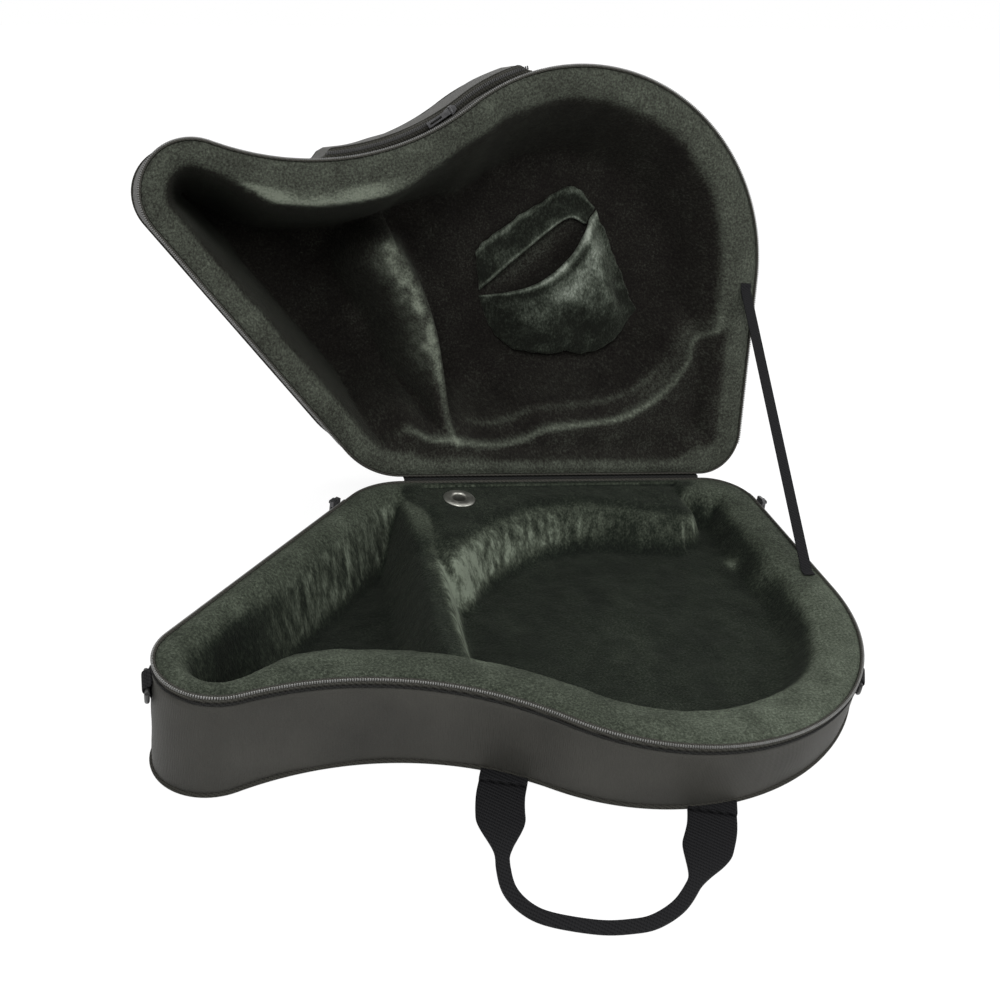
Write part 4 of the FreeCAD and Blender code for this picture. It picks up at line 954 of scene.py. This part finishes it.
def handle(node_name, joint, under):
    """A webbing loop: wide sewn ends that narrow to a folded grip. The one under the base lies flat."""
    axis = np.array(joint["axis"]) * (-1 if under else 1)
    up = np.array([0.0, 0.0, 1.0])
    back = unit(np.cross(up, axis) if under else up - axis * up.dot(axis))
    thick_way = up if under else unit(np.cross(axis, back))
    line = curve([(x * HALF_SPAN, -y * REACH) for x, y in LOOP], 3.0)
    lengths = np.concatenate([[0], np.cumsum(np.linalg.norm(np.diff(line, axis=0), axis=1))])
    narrow = softly(ROOT_LENGTH, GRIP_START, np.minimum(lengths, lengths[-1] - lengths))
    half_widths = ROOT_HALF * (1 - narrow) + GRIP_HALF * narrow
    half_thicks = ROOT_HALF_THICK * (1 - narrow) + GRIP_HALF_THICK * narrow
    settled = (half_thicks - GROUND_HALF_THICK) * under
    along = headings(line)
    path = np.array(joint["pos_m"]) + MM * (
        line[:, :1] * axis + line[:, 1:] * back + settled[:, None] * thick_way)
    wide = along[:, 1:] * axis - along[:, :1] * back
    thick = np.tile(thick_way, (len(path), 1))
    piece = webbing_band(node_name + "_webbing", path, wide, thick, half_widths * MM, half_thicks * MM)
    finish_piece(piece, node_name, "webbing", node_name)


handle("base_handle", JOINTS["base_handle_hinge"], True)
handle("lid_handle", JOINTS["lid_handle_hinge"], False)


# ---- lid pouch
def resample(line, count):
    """Evenly spaced points along a line."""
    along = np.concatenate([[0], np.cumsum(np.linalg.norm(np.diff(line, axis=0), axis=1))])
    wanted = np.linspace(0, along[-1], count)
    return np.stack([np.interp(wanted, along, column) for column in line.T], 1)


def thick_sheet(name, plan, lift, thickness, painted_light_and_tone):
    """A closed sheet over a grid of plan points, lift mm off the lid's pad."""
    rows, columns = plan.shape[:2]
    half = rows * columns
    sheet = grid_faces(rows, columns)
    faces = sheet + [[half + index for index in face[::-1]] for face in sheet]
    grid = np.arange(half).reshape(rows, columns)
    rim = [*grid[0], *grid[1:, -1], *grid[-1, -2::-1], *grid[-2:0:-1, 0]]
    faces += [[first, half + first, half + after, after] for first, after in zip(rim, rim[1:] + rim[:1])]
    points = np.concatenate([on_pad(plan, height).reshape(-1, 3) for height in (lift, lift - thickness)])
    piece = solid(name, place(points, LID), faces, SATIN)
    set_painted_light_and_tone(piece, np.tile(painted_light_and_tone.ravel(), 2))
    return piece


def on_pad(plan, lift):
    """Points over the lid's pad, lift mm off it."""
    flat = plan.reshape(-1, 2)
    depth = outer_plane("lid", flat, LINING_UNDER).reshape(plan.shape[:-1]) - lift
    return np.concatenate([plan, depth[..., None]], -1)


def rumple(plan, size, seed):
    """Noise over a grid of plan points."""
    flat = plan.reshape(-1, 2)
    return softness(flat, 1.0, size, seed).reshape(plan.shape[:-1])


def unevenness(plan, size, amount, seed):
    """Small sideways shifts that make a sewn edge wander."""
    flat = plan.reshape(-1, 2)
    shifts = [softness(flat, amount, size, seed), softness(flat, amount, size, seed + 3.7)]
    return np.stack(shifts, 1).reshape(plan.shape)


def between(low, high, rows, columns):
    """A grid between two edges: each point's share across and up, and its place."""
    across, rise = np.linspace(0, 1, columns)[None, :], np.linspace(0, 1, rows)[:, None]
    low, high = (resample(curve(edge, 1.0), columns) for edge in (low, high))
    return across, rise, low, high


POUCH_FOOT = [(53, -156), (62, -138), (80, -124), (108, -118), (138, -122), (166, -122), (192, -140),
              (207, -161), (215, -171)]
POUCH_LIP = [(45, -178), (75, -185), (105, -199), (133, -226), (149, -258), (163, -278)]
FLAP_FOLD = [(44, -184), (62, -203), (88, -229), (130, -266), (152, -262)]
FLAP_TOP = [(38, -228), (56, -246), (84, -268), (133, -301), (162, -280)]


def pouch_front():
    """The plush pocket's front, which sags open at its mouth."""
    across, rise, foot, lip = between(POUCH_FOOT, POUCH_LIP, 34, 52)
    foot += unevenness(foot, 9.0, 2.6, 1.0)
    plan = foot[None] * (1 - rise[..., None]) + lip[None] * rise[..., None]
    plan[:, -6:] += unevenness(plan[:, -6:], 12.0, 3.0, 5.0)
    swell = softly(-0.02, 0.34, across) * (1 - softly(0.82, 0.99, across))
    full = np.sin(math.pi * np.clip(0.06 + rise * 0.62, 0, 1)) ** 0.75
    lift = 2.5 + 24 * swell * full
    gathers = np.sin(2 * math.pi * (2.3 * across + 1.2 * rise)) * (1 - rise) * rise * 4
    lift += swell * (1.7 * gathers + 2.6 * rumple(plan, 26, 2.2) + 1.0 * rumple(plan, 11, 4.4))
    lift += 2.4 * hump(rise, 0.95, 0.05) * swell - 3.0 * hump(rise, 1.03, 0.035) * swell
    # painted light and shade: lighter towards the lip and darker towards the foot, a painted highlight on the
    # lip with painted shade just under it, a lighter side gusset, lit patches and shaded folds, and random
    # mottling
    painted_light_and_tone = 0.04 + 0.34 * softly(0.15, 0.85, rise) * softly(0.1, 0.5, across) + 0.5 * hump(rise, 0.97, 0.03)
    painted_light_and_tone = painted_light_and_tone + 0.3 * hump(across, 0.83, 0.05) * softly(0.2, 0.6, rise)
    painted_light_and_tone = painted_light_and_tone - 0.35 * hump(rise, 0.885, 0.035) * swell
    painted_light_and_tone = painted_light_and_tone + 0.34 * hump(rise - 0.3 * across, 0.5, 0.13) * swell * softly(0.25, 0.5, across)
    painted_light_and_tone = painted_light_and_tone + 0.16 * gathers * swell + 0.3 * rumple(plan, 12, 9.1) + 0.12 * rumple(plan, 5, 1.1)
    front = thick_sheet("pouch_front", plan, lift, 2.0, painted_light_and_tone)
    finish_piece(front, "lid", "plush", "lid_pouch", padded=0.2)


def pouch_flap():
    """The flap at the back of the pocket's mouth."""
    across, rise, fold, top = between(FLAP_FOLD, FLAP_TOP, 16, 44)
    plan = fold[None] * (1 - rise[..., None]) + top[None] * rise[..., None]
    plan[4:] += unevenness(plan[4:], 11.0, 2.4, 8.0)
    ends = np.sin(math.pi * np.clip(across, 0.02, 0.98)) ** 0.4
    lift = 4.6 + (8.5 * hump(rise, 0.1, 0.28) + 3.5 * hump(rise, 0.93, 0.14)) * ends
    lift = lift + 1.4 * rumple(plan, 18, 7.0)
    # painted highlights along the fold and the top edge, painted shade across the middle, and random mottling
    painted_light_and_tone = 0.1 + 0.5 * hump(rise, 0.06, 0.06) + 0.35 * hump(rise, 0.93, 0.1) - 0.1 * hump(rise, 0.45, 0.2)
    painted_light_and_tone = painted_light_and_tone + 0.3 * rumple(plan, 11, 3.3) + 0.12 * rumple(plan, 5, 6.1)
    flap = thick_sheet("pouch_flap", plan, lift, 1.8, painted_light_and_tone)
    finish_piece(flap, "lid", "plush", padded=0.1)


pouch_front()
pouch_flap()


# ---- outer pocket on the lid
POCKET_LEFT, POCKET_RIGHT = -150.0, 62.0
POCKET_MOUTH, POCKET_FOOT = 30.0, 115.0
POCKET_SECTION = [(-0.4, 115.6), (4.0, 115.8), (8.0, 114.6), (10.4, 110.5), (12.0, 100), (13.0, 84),
                  (12.6, 66), (11.6, 50), (10.6, 38), (10.2, 32.4), (9.2, 30.6), (2.6, 30.6), (-0.4, 30.6)]


def pocket_track(step=3.0):
    """The stretch of the plan that the pocket is sewn along: points and outward normals."""
    plan, normals, _ = outline(step)
    keep = (plan[:, 1] < -270) & (plan[:, 0] > POCKET_LEFT) & (plan[:, 0] < POCKET_RIGHT)
    return plan[keep], normals[keep]


def tucked(side, out, plan, height, swell=0.0):
    """The pocket's outs fall towards the wall at both ends, and its face swells."""
    if out <= 0:
        return np.full(len(plan), out)
    share = np.linspace(0, 1, len(plan))
    tuck = 0.25 + 0.75 * softly(0, 0.05, share) * (1 - softly(0.95, 1, share))
    soft = np.array([noise.noise(Vector((*(spot / 30), h / 24))) for spot, h in zip(plan, height)])
    return out * tuck + soft * swell * softly(6, 12, out)


def pocket():
    """The outer pocket: a nylon panel between two lines of piping, and its zip along the mouth."""
    track = pocket_track()
    section = [(out, 0, height) for out, height in POCKET_SECTION]
    cover = strip("pocket_panel_nylon", "lid", section, NYLON, track, lambda *spot: tucked(*spot, swell=1.3))
    finish_piece(cover, "lid", "nylon_cover", "lid_pocket_panel")
    for name, out, height in (("mouth", 10.2, POCKET_MOUTH + 3.0), ("foot", 10.8, POCKET_FOOT - 3.0)):
        section = round_section(out, 0, height, 1.1, 1.1, 8)
        piping = strip(f"pocket_{name}_piping", "lid", section, PIPING, track, tucked)
        finish_piece(piping, "lid", "binding_tape")
    profile = [(0.6, 0.7), (0.6, -0.3), (4.6, -0.7), (8.4, -0.7), (9.8, -0.3), (9.8, 0.7)]
    section = [(out, 0, POCKET_MOUTH + above) for out, above in profile]
    tape = strip("pocket_zip_tape", "lid", section, TAPE, track, tucked)
    finish_piece(tape, "lid", "zip_tape", "lid_pocket_zip")
    coil_track = [values[3:-3] for values in pocket_track(TOOTH_PITCH)]
    coil = teeth("pocket_zip_teeth", "lid", coil_track, 6.2, POCKET_MOUTH - 1.1, 1.8, 0.5, COIL)
    finish_piece(coil, "lid", "zip_teeth")


pocket()


# ---- D-ring tabs
TAB_WRAP, TAB_HALF_THICK = 3.2, 0.75


def ring_tab(side):
    """A folded webbing tab that holds the ring's bar: down the wall, round the bar and back."""
    node_name = f"dring_tab_{side}"
    joint = JOINTS[f"dring_{side}_hinge"]
    pivot, axis = Vector(joint["pos_m"]), Vector(joint["axis"]).normalized()
    up = BASE.to_3x3() @ Vector((0, 0, 1))
    out = up.cross(axis).normalized()
    if out.dot(Vector((pivot.x, pivot.y, 0))) < 0:
        out = -out
    local = BASE.inverted() @ (pivot / MM)
    wall = float(inset_of(np.array([[local.x, local.y]]))[0])
    shares = [point.co.dot(axis) for point in frame["nodes"][node_name].data.vertices]
    half_width = (max(shares) - min(shares)) / 2
    middle = pivot + axis * ((max(shares) + min(shares)) / 2 - pivot.dot(axis))
    half_fold = [(wall + 1.2, 7.6), (wall + 1.4, 6.4), (-1.8, 4.2)]
    turns = np.radians([80, 40, 0, -40, -80])
    bend = [(TAB_WRAP * math.cos(turn), TAB_WRAP * math.sin(turn)) for turn in turns]
    line = curve(half_fold + bend + [(away, -height) for away, height in half_fold[::-1]], 1.0)
    middle, axis, up, out = (np.array(way) for way in (middle, axis, up, out))
    along = headings(line)
    path = middle + MM * (line[:, :1] * out + line[:, 1:] * up)
    thick = along[:, :1] * up - along[:, 1:] * out
    wide = np.tile(axis, (len(path), 1))
    tab = webbing_band(f"{node_name}_webbing", path, wide, thick, half_width, TAB_HALF_THICK * MM)
    finish_piece(tab, "base", "webbing", node_name)


for side in ("left", "right"):
    ring_tab(side)


# ---- sewn-on pieces and the outer panels
def softened(node_name, body):
    """Sewn webbing with rounded edges and a slight ripple, from its own solid."""
    made = bmesh.new()
    made.from_mesh(frame["nodes"][node_name].data)
    bmesh.ops.remove_doubles(made, verts=made.verts, dist=1e-5)
    bmesh.ops.dissolve_limit(made, angle_limit=math.radians(2), verts=made.verts, edges=made.edges)
    sharp = [edge for edge in made.edges
             if len(edge.link_faces) == 2 and edge.calc_face_angle(0) > math.radians(50)]
    bmesh.ops.bevel(made, geom=sharp, offset=0.6 * MM, segments=2, affect="EDGES", profile=0.5)
    bmesh.ops.triangulate(made, faces=made.faces)
    for _ in range(3):
        long_edges = [edge for edge in made.edges if edge.calc_length() > 5 * MM]
        bmesh.ops.subdivide_edges(made, edges=long_edges, cuts=1)
        bmesh.ops.triangulate(made, faces=made.faces)
    made.normal_update()
    for vertex in made.verts:
        vertex.co += vertex.normal * noise.noise(vertex.co * 60) * 0.15 * MM
    mesh = bpy.data.meshes.new(f"{node_name}_sewn")
    made.to_mesh(mesh)
    made.free()
    finish_piece(linked(f"{node_name}_sewn", mesh, WEBBING), body, "webbing", node_name)


softened("base_handle_anchors", "base")
softened("lid_handle_anchors", "lid")


def panel(side, node_name):
    """The outer panel's nylon: stretched over its board, with a faint slackness inside the piping."""
    plan, triangles = plan_mesh((1.0, 2.5, 5.0, 9.0, 14.0), 15.0, 13.05, 8)
    count = len(plan)
    slack = (0.35 + softness(plan, 0.35, 60.0, 12.0)) * softly(1, 12, inset_of(plan))
    # sunk a little on the base, which stands on it; proud a little on the lid
    face = outer_plane(side, plan, inside=slack + 0.02 if side == "base" else 0.3 - slack)
    back = outer_plane(side, plan, inside=1.4)
    faces = triangles + [[count + index for index in triangle[::-1]] for triangle in triangles]
    faces += [[first, after, count + after, count + first] for first, after in loop_edges(len(PLAN))]
    points = np.concatenate([np.column_stack([plan, face]), np.column_stack([plan, back])])
    piece = solid(f"{node_name}_nylon", place(points, WHERE[side]), faces, PANEL)
    finish_piece(piece, side, "nylon_cover", node_name)


panel("base", "base_bottom_cover")
panel("lid", "lid_outer_panel")


# ---- mouthpiece eyelet
EYELET = [(7.5, -13.8), (7.5, 0.4), (7.9, 1.3), (9.0, 1.9), (11.0, 2.1), (13.4, 1.8), (15.3, 1.1),
          (16.4, 0.2), (16.2, -0.2), (10.0, -0.2), (10.0, -13.8)]


def eyelet():
    """The rolled metal eyelet: a domed flange round a turned-down barrel."""
    points, count = [], 64
    for angle in np.linspace(0, 2 * math.pi, count, endpoint=False):
        way = np.array([math.cos(angle), math.sin(angle)])
        points += [(*(WELL + radius * way), height - SHELF_DROP) for radius, height in EYELET]
    faces = grid_faces(count, len(EYELET), loop_rows=True, loop_columns=True)
    ring = solid("mouthpiece_eyelet", place(points, BASE), faces, STEEL)
    finish_piece(ring, "base", "grommet_metal", "mouthpiece_grommet")


eyelet()


# ---- materials of the CAD nodes that stay
DRINGS = ("dring_left", "dring_right")
SLIDERS = ("zip_slider_left", "zip_slider_right", "zip_pull_left", "zip_pull_right", "pocket_slider",
                "pocket_pull")
for names, material in ((DRINGS, BLACK_METAL), (SLIDERS, SLIDER)):
    for name in names:
        frame["nodes"][name].data.materials.clear()
        frame["nodes"][name].data.materials.append(material)


# ---- camera, light and room
def camera():
    data = bpy.data.cameras.new("camera")
    data.sensor_width, data.lens = 36.0, 43.2
    made = bpy.data.objects.new("camera", data)
    right, up = Vector((0.9606, -0.2723, 0.0552)), Vector((0.0979, 0.5176, 0.8500))
    forward = Vector((0.2600, 0.8111, -0.5239)).normalized()
    right = (right - forward * right.dot(forward)).normalized()
    up = right.cross(forward)
    turn = Matrix((right, up, -forward)).transposed().to_4x4()
    made.matrix_world = Matrix.Translation(Vector((-0.2822, -0.8238, 0.7135))) @ turn
    bpy.context.scene.collection.objects.link(made)
    bpy.context.scene.camera = made


def lamp(name, place_at, target, size, power):
    data = bpy.data.lights.new(name, "AREA")
    data.shape, data.size, data.energy = "DISK", size, power
    made = bpy.data.objects.new(name, data)
    made.location = place_at
    made.rotation_euler = (Vector(target) - Vector(place_at)).to_track_quat("-Z", "Y").to_euler()
    bpy.context.scene.collection.objects.link(made)


def seen_white(tree, white, lit):
    """White to the camera, to gloss and through glass; the lit surface for everything else."""
    nodes, links = tree.nodes, tree.links
    path = nodes.new("ShaderNodeLightPath")
    seen = path.outputs["Is Camera Ray"]
    for ray in ("Is Glossy Ray", "Is Transmission Ray"):
        either = node(nodes, "ShaderNodeMath", operation="MAXIMUM")
        links.new(seen, either.inputs[0])
        links.new(path.outputs[ray], either.inputs[1])
        seen = either.outputs[0]
    mix = nodes.new("ShaderNodeMixShader")
    for socket, value in zip(mix.inputs, (seen, lit, white)):
        links.new(value, socket)
    return mix.outputs[0]


def room():
    world = bpy.data.worlds.new("world")
    bpy.context.scene.world = world
    world.use_nodes = True
    nodes, links = world.node_tree.nodes, world.node_tree.links
    soft = nodes["Background"]
    soft.inputs[0].default_value, soft.inputs[1].default_value = (1, 1, 1, 1), 0.55
    white = nodes.new("ShaderNodeBackground")
    white.inputs[0].default_value, white.inputs[1].default_value = (1, 1, 1, 1), 1.0
    links.new(seen_white(world.node_tree, white.outputs[0], soft.outputs[0]), nodes["World Output"].inputs[0])
    floor_points = [(-3, -3, -0.0008), (3, -3, -0.0008), (3, 3, -0.0008), (-3, 3, -0.0008)]
    material, nodes, links, surface = shader("floor", 0.9, specular=0.1)
    surface.inputs["Base Color"].default_value = (0.86, 0.86, 0.86, 1)
    glow = nodes.new("ShaderNodeEmission")
    glow.inputs[1].default_value = 1.12
    blend = nodes.new("ShaderNodeMixShader")
    blend.inputs[0].default_value = 0.8
    links.new(surface.outputs[0], blend.inputs[1])
    links.new(glow.outputs[0], blend.inputs[2])
    out = nodes["Material Output"]
    links.new(seen_white(material.node_tree, blend.outputs[0], surface.outputs[0]), out.inputs[0])
    floor = new_mesh("floor", floor_points, [(0, 1, 2, 3)], material, smooth=False)
    lamp("key", (-0.7, -1.6, 2.2), (0, 0, 0.15), 1.3, 42)
    lamp("fill", (1.7, -0.9, 1.5), (0, 0.1, 0.15), 1.2, 16)
    lamp("back", (0.2, 1.8, 2.0), (0, 0.2, 0.2), 1.2, 18)


camera()
room()
scene = bpy.context.scene
scene.view_settings.view_transform = "Standard"
